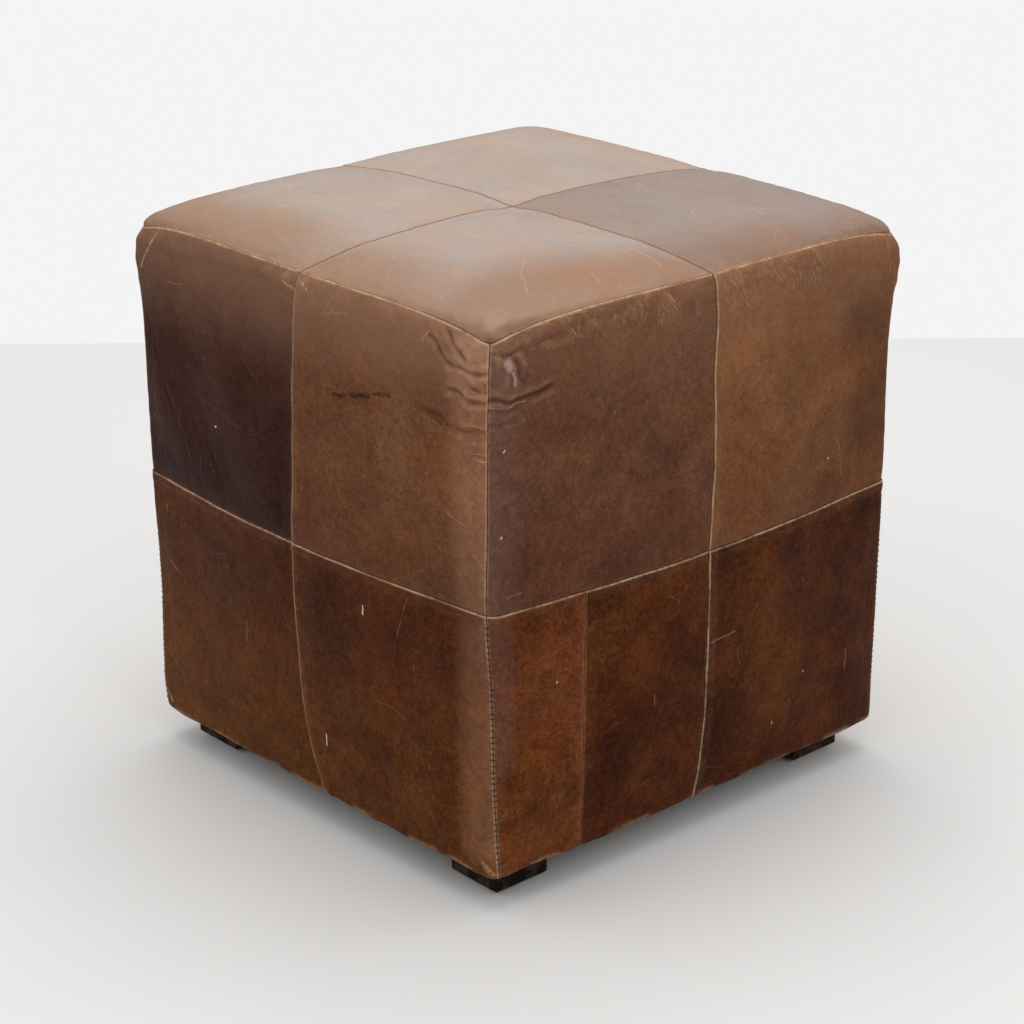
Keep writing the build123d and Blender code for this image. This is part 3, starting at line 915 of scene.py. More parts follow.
# ---- Node helpers --------------------------------------------------------------------------------
class Tree:
    """Adds to one node tree. Inputs may be plain values or other nodes' outputs."""

    def __init__(self, tree):
        self.tree = tree

    def add(self, kind, inputs, output=0, **settings):
        node = self.tree.nodes.new(kind)
        for key, value in settings.items():
            setattr(node, key, value)
        for key, value in inputs.items():
            self.feed(node.inputs[key], value)
        return node.outputs[output]

    def feed(self, socket, value):
        if isinstance(value, bpy.types.NodeSocket):
            self.tree.links.new(value, socket)
        elif socket.type == "RGBA":
            socket.default_value = (*value, 1)
        else:
            socket.default_value = value

    def mix(self, share, a, b, way="MIX"):
        return self.add("ShaderNodeMix", {0: share, 6: a, 7: b}, 2, data_type="RGBA", blend_type=way)

    def ramp(self, value, stops, interpolation="EASE"):
        """Colour for a value, through (place, colour) stops."""
        node = self.tree.nodes.new("ShaderNodeValToRGB")
        node.color_ramp.interpolation = interpolation
        while len(node.color_ramp.elements) < len(stops):
            node.color_ramp.elements.new(0.5)
        for element, (place, colour) in zip(node.color_ramp.elements, stops):
            element.position = place
            element.color = (*colour, 1)
        self.feed(node.inputs["Fac"], value)
        return node.outputs["Color"]


class Nodes(Tree):
    """Builds one material. Its patterns are set apart from other materials' by its seed."""

    def __init__(self, name, seed=0.0, **shader_values):
        self.material = bpy.data.materials.new(name)
        self.material.use_nodes = True
        super().__init__(self.material.node_tree)
        self.shader = self.tree.nodes["Principled BSDF"]
        for key, value in shader_values.items():
            self.shader.inputs[key.replace("_", " ")].default_value = value
        self.place = self.add("ShaderNodeTexCoord", {}, "Object")
        self.seed = seed

    def maths(self, operation, a, b=0.0, clamp=False):
        return self.add("ShaderNodeMath", {0: a, 1: b}, operation=operation, use_clamp=clamp)

    def total(self, *values):
        result = values[0]
        for value in values[1:]:
            result = self.maths("ADD", result, value)
        return result

    def product(self, *values):
        result = values[0]
        for value in values[1:]:
            result = self.maths("MULTIPLY", result, value)
        return result

    def centred(self, noise, weight):
        """Noise made to swing about zero, and weighted."""
        return self.product(self.maths("SUBTRACT", noise, 0.5), weight)

    def vector(self, operation, a, b=(0, 0, 0), output=0, **inputs):
        return self.add("ShaderNodeVectorMath", {0: a, 1: b, **inputs}, output, operation=operation)

    def dot(self, a, axis):
        return self.vector("DOT_PRODUCT", a, axis, "Value")

    def step(self, value, low, high, to_low=0.0, to_high=1.0):
        inputs = {"Value": value, "From Min": low, "From Max": high, "To Min": to_low, "To Max": to_high}
        return self.add("ShaderNodeMapRange", inputs, interpolation_type="SMOOTHSTEP")

    def times(self, colour, factors):
        return self.mix(1.0, colour, factors, "MULTIPLY")

    def noise(self, scale, detail=2.0, roughness=0.5, distortion=0.0, at=None, more=0.0):
        """Noise at a place, or everywhere, moved by the seed and more."""
        shift = self.seed + more
        if at is None:
            at = self.vector("ADD", self.place, (shift, shift * 0.7, -shift)) if shift else self.place
        inputs = {"Vector": at, "Scale": scale, "Detail": detail, "Roughness": roughness}
        return self.add("ShaderNodeTexNoise", inputs | {"Distortion": distortion})

    def cells(self, scale, output="Distance", **inputs):
        inputs = {"Vector": self.place, "Scale": scale} | inputs
        feature = "SMOOTH_F1" if "Smoothness" in inputs else "F1"
        return self.add("ShaderNodeTexVoronoi", inputs, output, feature=feature)

    def stretched(self, scale):
        return self.add("ShaderNodeMapping", {"Vector": self.place, "Scale": scale})

    def attribute(self, name):
        return self.add("ShaderNodeAttribute", {}, "Fac", attribute_name=name)

    def bump(self, height, strength, distance, normal=None):
        inputs = {"Height": height, "Strength": strength, "Distance": distance}
        if normal is not None:
            inputs["Normal"] = normal
        return self.add("ShaderNodeBump", inputs)

    def finish(self, colour, roughness, normal=None):
        self.feed(self.shader.inputs["Base Color"], colour)
        self.feed(self.shader.inputs["Roughness"], roughness)
        if normal is not None:
            self.feed(self.shader.inputs["Normal"], normal)
        return self.material


def scaled(colour, *factors):
    factors = factors if len(factors) == 3 else factors * 3
    return tuple(part * factor for part, factor in zip(colour, factors))


# ---- Leather -------------------------------------------------------------------------------------
# Each dye lot: its middling colour, and how strongly it is blotched
LEATHERS = {
    "leather_pale_tan": ((0.288, 0.213, 0.174), 0.26),
    "leather_mauve_tan": ((0.215, 0.150, 0.122), 0.28),
    "leather_purple_brown": ((0.042, 0.0135, 0.0088), 1.1),
    "leather_mid_brown": ((0.132, 0.050, 0.0225), 0.88),
    "leather_orange_brown": ((0.070, 0.0185, 0.0035), 1.3),
    "leather_red_brown": ((0.072, 0.0185, 0.0045), 1.3),
    "leather_golden_brown": ((0.172, 0.069, 0.0290), 0.75),
    "leather_dark_mottled": ((0.056, 0.0140, 0.0030), 1.5),
}
PANEL_LEATHERS = {
    "leather_pale_tan": ["top_front_left", "top_front_right", "top_back_left"],
    "leather_mauve_tan": ["top_back_right"],
    "leather_purple_brown": ["front_upper_left", "back_upper_right", "left_lower_left"],
    "leather_mid_brown": ["front_upper_right", "right_upper_left", "back_upper_left", "left_lower_right"],
    "leather_orange_brown": ["front_lower_left", "back_lower_right"],
    "leather_red_brown": ["front_lower_right", "right_lower_left_strip", "left_upper_left"],
    "leather_golden_brown": ["right_upper_right", "back_lower_left", "left_upper_right"],
    "leather_dark_mottled": ["right_lower_left", "right_lower_right"],
}
TINTS = {  # of single panels, over their dye lot's colour
    "right_upper_left": (0.90, 0.93, 1.10),
    "right_lower_left_strip": (1.25, 1.25, 1.3),
}
FADE_AND_HIGHLIGHT = (0.285, 0.148, 0.092)  # upper panels turn to this at the top seam: part fade, part painted highlight
FADE_AND_HIGHLIGHT_AMOUNTS = {  # by how much, and how far down it reaches, in metres
    "front_upper_left": (0.54, 0.095),
    "front_upper_right": (0.62, 0.080),
    "right_upper_left": (0.22, 0.090),
    "right_upper_right": (0.30, 0.110),
    "back_upper_left": (0.35, 0.090),
    "back_upper_right": (0.35, 0.050),
    "left_upper_left": (0.45, 0.060),
    "left_upper_right": (0.35, 0.090),
}
# Lower panels' colour is multiplied by these, below the waist and at the hem
LOWER_LOOK = ((0.90, 0.84, 0.90), (1.12, 1.25, 1.05))
LOWER_LOOKS = {  # the same for the panels that differ
    "right_lower_left_strip": ((1.14, 1.18, 1.30), (1.10, 1.14, 1.08)),
    "right_lower_left": ((1.14, 1.12, 1.08), (0.83, 0.76, 0.78)),
    "right_lower_right": ((1.14, 1.12, 1.02), (0.83, 0.76, 0.78)),
}
AXES = {  # directions across and up each face, as seen from outside
    "front": ((1, 0, 0), (0, 0, 1)),
    "right": ((0, 1, 0), (0, 0, 1)),
    "back": ((-1, 0, 0), (0, 0, 1)),
    "left": ((0, -1, 0), (0, 0, 1)),
    "top": ((1, 0, 0), (0, 1, 0)),
}
# Marks on the panels, among them painted light and shade (the sheen, glint, tan and shade kinds, some dark
# lines in creases and a pale line on a wrinkle): kind, width, then a line of (across, up) places on the
# face, all in mm
MARKS = {
    "front_upper_left": [
        # painted highlight along a wrinkle
        ("fray", 2.2, (-188, 469), (-201, 452), (-211, 437)),
        ("hair", 0.7, (-167, 434), (-142, 437)),
        ("line", 0.9, *CREASES["front"][0][0]),
        ("line", 0.7, *CREASES["front"][1][0]),
        ("line", 0.6, *CREASES["front"][2][0]),
        ("white", 1.3, (-106, 324), (-104, 325)),
        ("gold", 1.2, (-118, 382), (-117, 380)),
        ("white", 1.0, (-218, 300), (-217, 302)),
        ("gold", 1.2, (-207, 306), (-206, 307)),
        ("scuff", 2.0, (-6, 470), (8, 466)),
        ("dark", 5.0, (-195, 275), (-150, 262)),
    ],
    "front_upper_right": [
        ("smudge", 3.2, (57, 394), (70, 396)),
        ("smudge", 4.4, (78, 399), (97, 402)),
        ("smudge", 3.4, (104, 405), (122, 409)),
        ("hair", 1.0, (155, 460), (162, 468)),
        ("gold", 1.2, (88, 335), (89, 336)),
        ("gold", 1.4, (158, 356), (159, 354)),
        ("gold", 1.2, (11, 303), (12, 305)),
        ("hair", 0.6, (188, 283), (196, 271)),
        ("scuff", 2.2, (12, 474), (22, 470)),
        # painted sheen: a pale strip beside the near corner
        ("tan", 44.0, (206, 450), (205, 268)),
        ("hair", 1.0, (203, 382), (214, 383), (223, 383)),
        ("hair", 0.8, (208, 378), (223, 378)),
        ("hair", 0.8, (206, 405), (223, 405)),
        ("hair", 0.6, (40, 455), (72, 462)),
        ("hair", 0.5, (176, 330), (196, 322)),
        ("hair", 0.6, (202, 300), (216, 290)),
    ],
    "front_lower_left": [
        ("scuff", 1.2, (-198, 179), (-183, 173)),
        ("gold", 1.2, (-74, 160), (-76, 143)),
        ("gold", 1.4, (-195, 228), (-194, 226)),
        ("hair", 0.8, (-202, 44), (-193, 41)),
        ("hair", 0.5, (-120, 208), (-96, 214)),
        ("dark", 14.0, (-150, 225), (-90, 212)),
        ("scuff", 4.0, (-216, 50), (-206, 39)),
        ("dark", 22.0, (-165, 62), (-140, 56)),
    ],
    "front_lower_right": [
        # painted sheen: a pale strip beside the near corner
        ("tan", 40.0, (206, 235), (206, 60)),
        ("dark", 52.0, (34, 224), (38, 165)),
        ("white", 1.1, (82, 225), (82, 217)),
        ("white", 0.9, (24, 91), (23, 80)),
        ("hair", 0.7, (132, 246), (126, 228), (119, 207)),
        ("hair", 0.9, (137, 190), (137, 175)),
        ("hair", 0.9, (152, 110), (152, 104)),
        ("hair", 0.7, (155, 84), (155, 79)),
        ("line", 0.9, (174, 240), (178, 229)),
        ("line", 2.6, (95, 146), (112, 145), (128, 139)),
        ("scuff", 5.0, (209, 42), (216, 34)),
    ],
    "right_upper_left": [
        ("hair", 0.8, (-207, 470), (-165, 476), (-120, 479)),
        ("hair", 0.5, (-53, 476), (-59, 453)),
        ("hair", 0.5, (-48, 474), (-51, 458)),
        ("hair", 0.5, (-88, 474), (-84, 462)),
        ("line", 0.9, (-190, 459), (-160, 464), (-124, 470)),
        # painted shade along a crease, with a painted highlight just under it
        ("dark", 1.6, (-222, 426), (-208, 424), (-186, 426)),
        ("hair", 0.9, (-222, 421), (-208, 419), (-192, 422)),
        ("hair", 0.8, (-206, 267), (-192, 268)),
        ("gold", 1.2, (-194, 406), (-193, 408)),
        ("sheen", 36.0, (-214, 446), (-212, 262)),
        ("glint", 6.0, (-208, 454), (-206, 449)),
        ("glint", 2.4, (-203, 445), (-201, 436)),
        ("white", 1.0, (-210, 385), (-209, 386)),
        ("gold", 1.0, (-107, 394), (-106, 393)),
        ("white", 1.0, (-211, 316), (-210, 317)),
        ("hair", 0.5, (-132, 369), (-132, 355)),
        ("hair", 0.5, (-30, 440), (-14, 446)),
    ],
    "right_upper_right": [
        ("hair", 0.8, (206, 467), (210, 440)),
        ("hair", 0.6, (189, 435), (186, 407)),
        ("hair", 0.7, (78, 478), (84, 470), (90, 463)),
        ("hair", 0.6, (151, 311), (159, 275)),
        # painted shade along a crease
        ("dark", 0.8, (40, 364), (62, 363), (86, 355)),
        ("gold", 1.2, (129, 350), (130, 351)),
        ("gold", 1.3, (196, 298), (197, 296)),
        ("white", 0.9, (138, 295), (139, 296)),
        ("shade", 70.0, (190, 400), (196, 322)),
    ],
    "right_lower_left_strip": [
        ("sheen", 26.0, (-212, 240), (-210, 130)),
        ("white", 1.0, (-159, 184), (-158, 185)),
        ("hair", 0.8, (-155, 87), (-155, 80)),
    ],
    "right_lower_left": [
        ("gold", 1.1, (-60, 144), (-59, 135)),
        ("hair", 0.6, (-48, 228), (-41, 224), (-36, 218)),
    ],
    "right_lower_right": [
        ("hair", 0.8, (48, 182), (56, 192)),
        ("scuff", 1.3, (2, 172), (30, 173)),
        ("gold", 1.2, (175, 112), (177, 92)),
        ("gold", 1.2, (113, 194), (114, 195)),
        ("white", 0.9, (119, 108), (120, 109)),
        ("white", 1.1, (84, 72), (84, 70)),
        ("line", 0.9, (8, 38), (58, 38)),
    ],
    "top_front_right": [
        ("hair", 0.7, (137, -111), (160, -135), (196, -160)),
        ("hair", 0.7, (155, -20), (192, -28), (212, -37)),
        ("hair", 0.6, (26, -193), (40, -206)),
        ("hair", 0.6, (78, -194), (90, -207)),
        ("hair", 0.6, (144, -198), (152, -208)),
        ("hair", 0.5, (186, -90), (208, -98)),
    ],
    "top_front_left": [("hair", 0.6, (-59, -196), (-40, -204)), ("hair", 0.5, (-180, -120), (-160, -98))],
    "top_back_right": [("hair", 0.5, (150, 40), (180, 62)), ("hair", 0.5, (196, 110), (210, 90))],
    "top_back_left": [("hair", 0.5, (-60, 130), (-30, 150))],
}
WHOLE_MARKS = ("white", "gold", "sheen", "glint", "tan", "shade")  # the others are broken up by grit
MARK_LOOKS = {  # colour as shares of the panel's own plus a fixed part, and how strongly it covers; sheen and tan are painted sheen, glint a painted highlight, shade painted shade
    "hair": ((1.5, 1.5, 1.5), (0.125, 0.082, 0.052), 0.65),
    "line": ((1.4, 1.4, 1.4), (0.035, 0.022, 0.016), 0.50),
    "scuff": ((1.2, 1.2, 1.2), (0.24, 0.16, 0.105), 0.60),
    "white": ((0.0, 0.0, 0.0), (0.66, 0.58, 0.50), 0.95),
    "gold": ((1.1, 1.0, 0.9), (0.20, 0.09, 0.03), 0.70),
    "dark": ((0.45, 0.42, 0.42), (0.0, 0.0, 0.0), 0.60),
    "shade": ((0.58, 0.54, 0.54), (0.0, 0.0, 0.0), 0.80),
    # a painted highlight along a wrinkle
    "fray": ((1.3, 1.3, 1.3), (0.21, 0.135, 0.085), 0.85),
    "smudge": ((0.22, 0.20, 0.20), (0.0, 0.0, 0.0), 0.80),
    "sheen": ((0.97, 1.02, 1.1), (0.038, 0.025, 0.024), 0.62),
    "glint": ((1.0, 1.0, 1.0), (0.30, 0.26, 0.27), 0.60),
    # a painted sheen, paler and bluer than the leather
    "tan": ((1.38, 1.45, 1.55), (0.074, 0.042, 0.028), 0.75),
}
MARK_SHAKE = 4.5 * MM  # how far noise moves the marks' lines
SPARE_SCRATCHES = 5  # random ones on each panel
# Where frayed hairs are dense: from and to across, from and to upwards, in mm
FRAYED = {
    "right_upper_left": (-150, -6, 456, 482),
    "right_upper_right": (4, 130, 448, 480),
    "front_upper_left": (-30, 4, 455, 480),
    "front_upper_right": (2, 80, 458, 482),
    "left_upper_right": (60, 190, 455, 480),
    "back_upper_left": (-170, -60, 455, 480),
}
HANGING = (1.1, 1.75, 2.3)  # directions of the hairs on frayed panels, from the face's horizontal
STREAK = (0.022, 0.0010, 1)  # a streak's length and breadth, in metres
SEED_STEP = 3.7  # between the seeds of panels that follow each other by name
ALL_PANELS = sorted(name for names in PANEL_LEATHERS.values() for name in names)
BLOTCHES = [  # places on the ramp of a dye, and the shares of its middling colour there
    (0.16, 0.42, 0.37, 0.37),
    (0.36, 0.72, 0.68, 0.68),
    (0.50, 1, 1, 1),
    (0.66, 1.36, 1.46, 1.36),
    (0.88, 1.90, 2.15, 1.90),
]
# Colours that wear lays bare, and the painted shade in the seat's seam grooves
RUBBED, FLECK, FRAY = (0.54, 0.35, 0.21), (0.42, 0.27, 0.17), (0.36, 0.22, 0.13)
SEAT_WORN, SEAT_HAIR, SEAT_GROOVE_SHADE = (0.42, 0.235, 0.13), (0.5, 0.36, 0.27), (0.120, 0.046, 0.022)
SIDE_WORN = (0.38, 0.20, 0.10)


class Leather(Nodes):
    """The leather of one panel. Across and up are places on its face, as seen from outside."""

    def __init__(self, slot, panel):
        self.panel = panel
        side = panel.split("_")[0]
        self.seat = side == "top"
        seed = SEED_STEP * (1 + ALL_PANELS.index(panel))
        super().__init__(f"{slot}_{panel}", seed, Specular_IOR_Level=0.42 if self.seat else 0.04)
        middling, self.blotching = LEATHERS[slot]
        self.middling = scaled(middling, *TINTS.get(panel, (1, 1, 1)))
        across_axis, up_axis = AXES[side]
        self.across, self.up = self.dot(self.place, across_axis), self.dot(self.place, up_axis)
        self.face = self.add("ShaderNodeCombineXYZ", {0: self.across, 1: self.up})

    def paint(self, share, colour):
        """Covers the colour so far with another."""
        self.colour = self.mix(share, self.colour, colour)


def dye_and_painted_light(m):
    """Large blotches, clouds, mottle and fine speckle, then fade, painted light and painted shade over
    them, and a change of colour towards the hem.
    """
    m.blotch = m.noise(9, 3, 0.55, 0.6)
    m.cloud = m.noise(34, 4, 0.65, 0.8)
    m.mottle = m.noise(190, 5, 0.80, 0.6)
    m.speckle = m.noise(560, 3, 0.75)
    parts = ((m.blotch, 0.70), (m.cloud, 0.50), (m.mottle, 0.95), (m.speckle, 0.62))
    spread = m.total(0.5, *[m.centred(part, weight * m.blotching) for part, weight in parts])
    m.colour = m.ramp(spread, [(place, scaled(m.middling, *shares)) for place, *shares in BLOTCHES])
    warmth = m.step(m.noise(16, 2, 0.5, more=9), 0.38, 0.62)
    m.colour = m.mix(warmth, m.times(m.colour, (0.98, 1.02, 1.06)), m.times(m.colour, (1.03, 0.99, 0.93)))
    if m.seat:  # painted shade: its front and right edges are darker and more golden, where they reflect less sheen
        edge = m.maths("MAXIMUM", m.dot(m.place, (1, -0.25, 0)), m.dot(m.place, (0, -1, 0)))
        edge = m.total(edge, m.centred(m.blotch, 0.08))
        m.paint(m.step(edge, 0.115, 0.226), m.times(m.colour, (0.73, 0.47, 0.27)))
    elif "upper" in m.panel:  # paler towards the top seam, part faded and part painted highlight; painted shade towards the waist
        drop = m.total(SEAM_Z + 0.5 * TOP_ARCH, m.product(m.up, -1), m.centred(m.cloud, 0.05))
        fade_and_highlight_amount, reach = FADE_AND_HIGHLIGHT_AMOUNTS[m.panel]
        m.paint(m.step(drop, reach, 0.0, 0.0, fade_and_highlight_amount), FADE_AND_HIGHLIGHT)
        # painted shade: darker further below the top seam
        m.paint(m.step(drop, 0.08, 0.23), m.times(m.colour, (0.73, 0.66, 0.66)))
    else:
        hem = m.total(m.up, m.centred(m.blotch, 0.45))
        below_waist, at_hem = LOWER_LOOKS.get(m.panel, LOWER_LOOK)
        m.colour = m.mix(m.step(hem, 0.24, 0.06), m.times(m.colour, below_waist), m.times(m.colour, at_hem))


def wear_and_painted_light(m):
    """Scuffs and pits, then rubbing along the seams and over the creases, part painted light, and painted
    shade in the creases' valleys.
    """
    rub, m.groove = m.attribute("rub"), m.attribute("groove")
    band, near, m.crumple = m.attribute("band"), m.attribute("near"), m.attribute("crumple")
    m.grit = m.noise(260, 3, 0.7)
    long_grit = m.noise(30, 2, 0.6)
    worn = SEAT_WORN if m.seat else SIDE_WORN
    if not m.seat:  # pale scuffs in patches, and small dark pits
        scuffs = m.product(m.step(m.noise(95, 5, 0.75, 0.8, more=5), 0.60, 0.74),
                           m.step(m.noise(12, 2, 0.5, more=6), 0.45, 0.65))
        m.paint(m.product(scuffs, 0.30), scaled(m.middling, 2.1, 2.1, 1.9))
        pits = m.product(m.step(m.noise(110, 4, 0.7, more=7), 0.36, 0.26), 0.55)
        m.paint(pits, scaled(m.middling, 0.42, 0.38, 0.36))
    # The seams' turned edges, rubbed in broken lengths, and the paler bands over their allowances, part
    # wear and part painted sheen
    fine_breaks = m.step(m.grit, 0.30, 0.62, 0.35, 1.0)
    long_breaks = m.step(long_grit, 0.30, 0.60, 0.45, 1.0)
    m.rubbed = m.product(rub, fine_breaks, long_breaks)
    patchy = m.step(m.noise(70, 4, 0.65), 0.28, 0.72)
    m.paint(m.product(band, patchy, 0.15 if "lower" in m.panel else 0.30), scaled(worn, 0.62, 0.62, 0.75))
    # Creases: pale crests, part wear and part painted highlight; painted shade in the valleys
    relief = m.attribute("relief")
    broken_crest = m.product(m.step(relief, 0.10, 0.75), m.step(m.mottle, 0.35, 0.60, 0.35, 1.0))
    m.paint(m.product(broken_crest, 0.6), m.mix(0.5, m.colour, worn))
    m.paint(m.step(relief, -0.10, -1.0, 0.0, 0.55), scaled(m.middling, 0.25, 0.22, 0.22))
    # Fine level ticks beside the corner seams
    placing = {"Scale": (55, 420, 1), "Location": (m.seed, 0, 0)}
    ticks = m.add("ShaderNodeMapping", {"Vector": m.face} | placing)
    tick = m.product(near, m.step(m.noise(1, 4, 0.7, at=ticks), 0.54, 0.70), m.step(m.cloud, 0.42, 0.60))
    m.paint(m.product(tick, 0.75), scaled(worn, 0.85))


def fine_hairs(m):
    """Pale streaks in three directions all over, dense where the panel is frayed."""
    m.hair, frayed = 0.0, 0.0
    angles = HANGING if m.panel in FRAYED else (m.seed, m.seed + 1.1, m.seed + 2.3)
    for number, angle in enumerate(angles):
        placing = {"Rotation": (0, 0, angle), "Scale": STREAK, "Location": (m.seed, number, 0)}
        turned_face = m.add("ShaderNodeMapping", {"Vector": m.face} | placing, vector_type="TEXTURE")
        streaks = m.noise(1, 1, 0.4, 0.25, at=turned_face)
        patch = m.step(m.noise(13, 2, 0.5, more=number * 2.3), 0.48, 0.66)
        m.hair = m.maths("ADD", m.product(m.step(streaks, 0.70, 0.80), patch), m.hair, clamp=True)
        frayed = m.maths("MAXIMUM", m.step(streaks, 0.64, 0.71), frayed)
    m.paint(m.product(m.hair, 0.45), SEAT_HAIR if m.seat else scaled(m.middling, 2.3, 2.3, 2.2))
    if m.panel in FRAYED:
        low_x, high_x, low_y, high_y = (edge * MM for edge in FRAYED[m.panel])
        soft_x, soft_low, soft_high = 10 * MM, 8 * MM, 2 * MM  # how softly the area ends
        inside = m.product(
            m.step(m.across, low_x - soft_x, low_x + soft_x),
            m.step(m.across, high_x + soft_x, high_x - soft_x),
            m.step(m.up, low_y - soft_low, low_y + soft_low),
            m.step(m.up, high_y + soft_high, high_y - soft_high),
        )
        m.paint(m.product(frayed, inside, m.step(m.cloud, 0.40, 0.56), 0.8), FRAY)


def flecks(m):
    """Small pale nicks, in about one in nine of the cells of a coarse pattern."""
    from_middle, cell_pick = m.cells(52.0), m.cells(52.0, "Color")
    picked = m.step(m.dot(cell_pick, (1, 0, 0)), 0.88, 0.90)
    fleck = m.product(m.step(from_middle, 0.030, 0.018), picked)
    m.paint(m.product(fleck, 0.75), FLECK)


def marks_on(panel):
    """The panel's own marks, then a few random fine scratches over its middle."""
    random = np.random.default_rng(sum(ord(letter) for letter in panel))
    marks = list(MARKS.get(panel, []))
    (low_x, high_x), (low_y, high_y) = panel_area(panel)
    for _ in range(SPARE_SCRATCHES):
        x, y = random.uniform(low_x, high_x), random.uniform(low_y, high_y)
        angle, length = random.uniform(0, math.pi), random.uniform(5, 24)
        bend = random.normal(0, 1.5)
        dx, dy = length * math.cos(angle) / 2, length * math.sin(angle) / 2
        line = ((x - dx, y - dy), (x + bend, y - bend), (x + dx, y + dy))
        marks.append(("hair" if random.random() < 0.6 else "line", random.uniform(0.4, 0.7), *line))
    return marks


def panel_area(panel):
    """The middle of a panel on its face, in mm, from and to across and up."""
    left = "left" in panel
    if panel.startswith("top"):
        return ((-190, -20) if left else (20, 190)), ((-190, -20) if "front" in panel else (20, 190))
    return ((-205, -15) if left else (15, 205)), ((45, 240) if "lower" in panel else (265, 450))


def stroke(m, face, start, end, width):
    """Mask of a line on a face, full in its middle and soft at its edges."""
    start, span = np.array([*start, 0]) * MM, (np.array([*end, 0]) - [*start, 0]) * MM
    from_start = m.vector("SUBTRACT", face, tuple(start))
    share = m.dot(from_start, tuple(span / span.dot(span)))
    nearest = m.vector("SCALE", tuple(span), Scale=m.maths("ADD", share, 0.0, True))
    distance = m.vector("DISTANCE", from_start, nearest, "Value")
    return m.step(distance, 0.75 * width * MM, 0.15 * width * MM)


def paint_marks(m):
    """Strokes of each kind of mark, along lines shaken a little by noise."""
    noise = m.add("ShaderNodeTexNoise", {"Vector": m.place, "Scale": 110.0}, "Color")
    shaken = m.vector("SCALE", m.vector("SUBTRACT", noise, (0.5, 0.5, 0.5)), Scale=MARK_SHAKE)
    shaken_face = m.vector("MULTIPLY", m.vector("ADD", m.face, shaken), (1, 1, 0))
    masks = {}
    for kind, width, *line in marks_on(m.panel):
        for start, end in zip(line, line[1:]):
            mask = stroke(m, shaken_face, start, end, width)
            masks[kind] = m.maths("MAXIMUM", masks[kind], mask) if kind in masks else mask
    broken = m.step(m.grit, 0.34, 0.52)
    for kind, mask in masks.items():
        own, fixed, cover = MARK_LOOKS[kind]
        look = m.mix(1.0, m.times(m.colour, own), fixed, "ADD")
        m.paint(m.product(mask, cover) if kind in WHOLE_MARKS else m.product(mask, broken, cover), look)


def grain(m):
    """Pebbled cells with fine wrinkles between them. Returns the roughness and the bumped normal."""
    pebble = m.cells(520.0, Smoothness=0.6)
    wrinkle = m.noise(75, 5, 0.65, 1.2)
    pebbles = m.total(m.product(pebble, -0.5), m.product(m.speckle, 0.5))
    fine = m.bump(pebbles, 0.35, 0.00035)
    bumped = m.bump(m.total(wrinkle, m.product(m.hair, -0.15)), 0.35, 0.0016, fine)
    roughness = m.total(
        0.44, m.product(m.crumple, -0.10), m.product(m.rubbed, 0.12), m.product(m.groove, 0.45),
        m.centred(m.cloud, 0.10 if m.seat else 0.30), m.centred(m.speckle, 0.20),
    )
    return roughness, bumped


def leather_material(slot, panel):
    """A panel's leather: its dyed colour, worn places, painted light and shade and marks, then its rubbed
    edges and painted shade in the grooves of its seams.
    """
    m = Leather(slot, panel)
    for layer in (dye_and_painted_light, wear_and_painted_light, fine_hairs, flecks, paint_marks):
        layer(m)
    m.paint(m.product(m.rubbed, 0.9), RUBBED)
    # painted shade in the seams' grooves, on the seat and on the sides
    if m.seat:
        m.paint(m.product(m.groove, 0.88), SEAT_GROOVE_SHADE)
    else:
        m.paint(m.product(m.groove, 0.75), scaled(m.middling, 0.12))
    return m.finish(m.colour, *grain(m))


for slot, panels in PANEL_LEATHERS.items():
    for panel in panels:
        side, _, rest = panel.partition("_")
        piece = leather[f"{side}_panel_{rest}"]
        piece.data.materials.append(leather_material(slot, panel))


# ---- Other materials -----------------------------------------------------------------------------
def wood(name, dark, light, along=(1, 1, 0.08)):
    """Timber with rings drawn out along its length, pores and a slight unevenness."""
    m = Nodes(name)
    stretched = m.stretched(along)
    rings = m.noise(90, 4, 0.6, 1.5, at=stretched)
    pores = m.noise(810, 2, 0.6, at=stretched)
    patches = m.noise(18, 3, 0.5)
    value = m.total(m.product(rings, 0.6), m.product(pores, 0.25), m.product(patches, 0.15))
    colour = m.ramp(value, [(0.34, dark), (0.50, scaled(light, 0.8)), (0.64, light)])
    return m.finish(colour, m.step(pores, 0.3, 0.7, 0.62, 0.44), m.bump(value, 0.35, 0.0008))


def foot_wood():
    """Dark stained hardwood, scuffed pale in places along its edges."""
    m = Nodes("foot_wood", Specular_IOR_Level=0.06)
    grain = m.noise(150, 4, 0.65, 1.0, at=m.stretched((0.12, 1, 1)))
    scuffs = m.step(m.noise(75, 4, 0.7), 0.62, 0.72)
    edge = m.add("ShaderNodeNewGeometry", {}, "Pointiness")
    worn = m.maths("MULTIPLY", m.step(edge, 0.52, 0.60), m.step(m.noise(60, 3, 0.6), 0.45, 0.6), True)
    dark, middling, light = (0.003, 0.0016, 0.0013), (0.007, 0.0036, 0.0028), (0.013, 0.0068, 0.005)
    colour = m.ramp(grain, [(0.30, dark), (0.55, middling), (0.75, light)])
    colour = m.mix(m.product(scuffs, 0.25), colour, (0.040, 0.022, 0.016))
    colour = m.mix(m.product(worn, 0.5), colour, (0.08, 0.046, 0.03))
    rough = m.step(grain, 0.3, 0.7, 0.55, 0.40)
    return m.finish(colour, rough, m.bump(grain, 0.4, 0.0007))


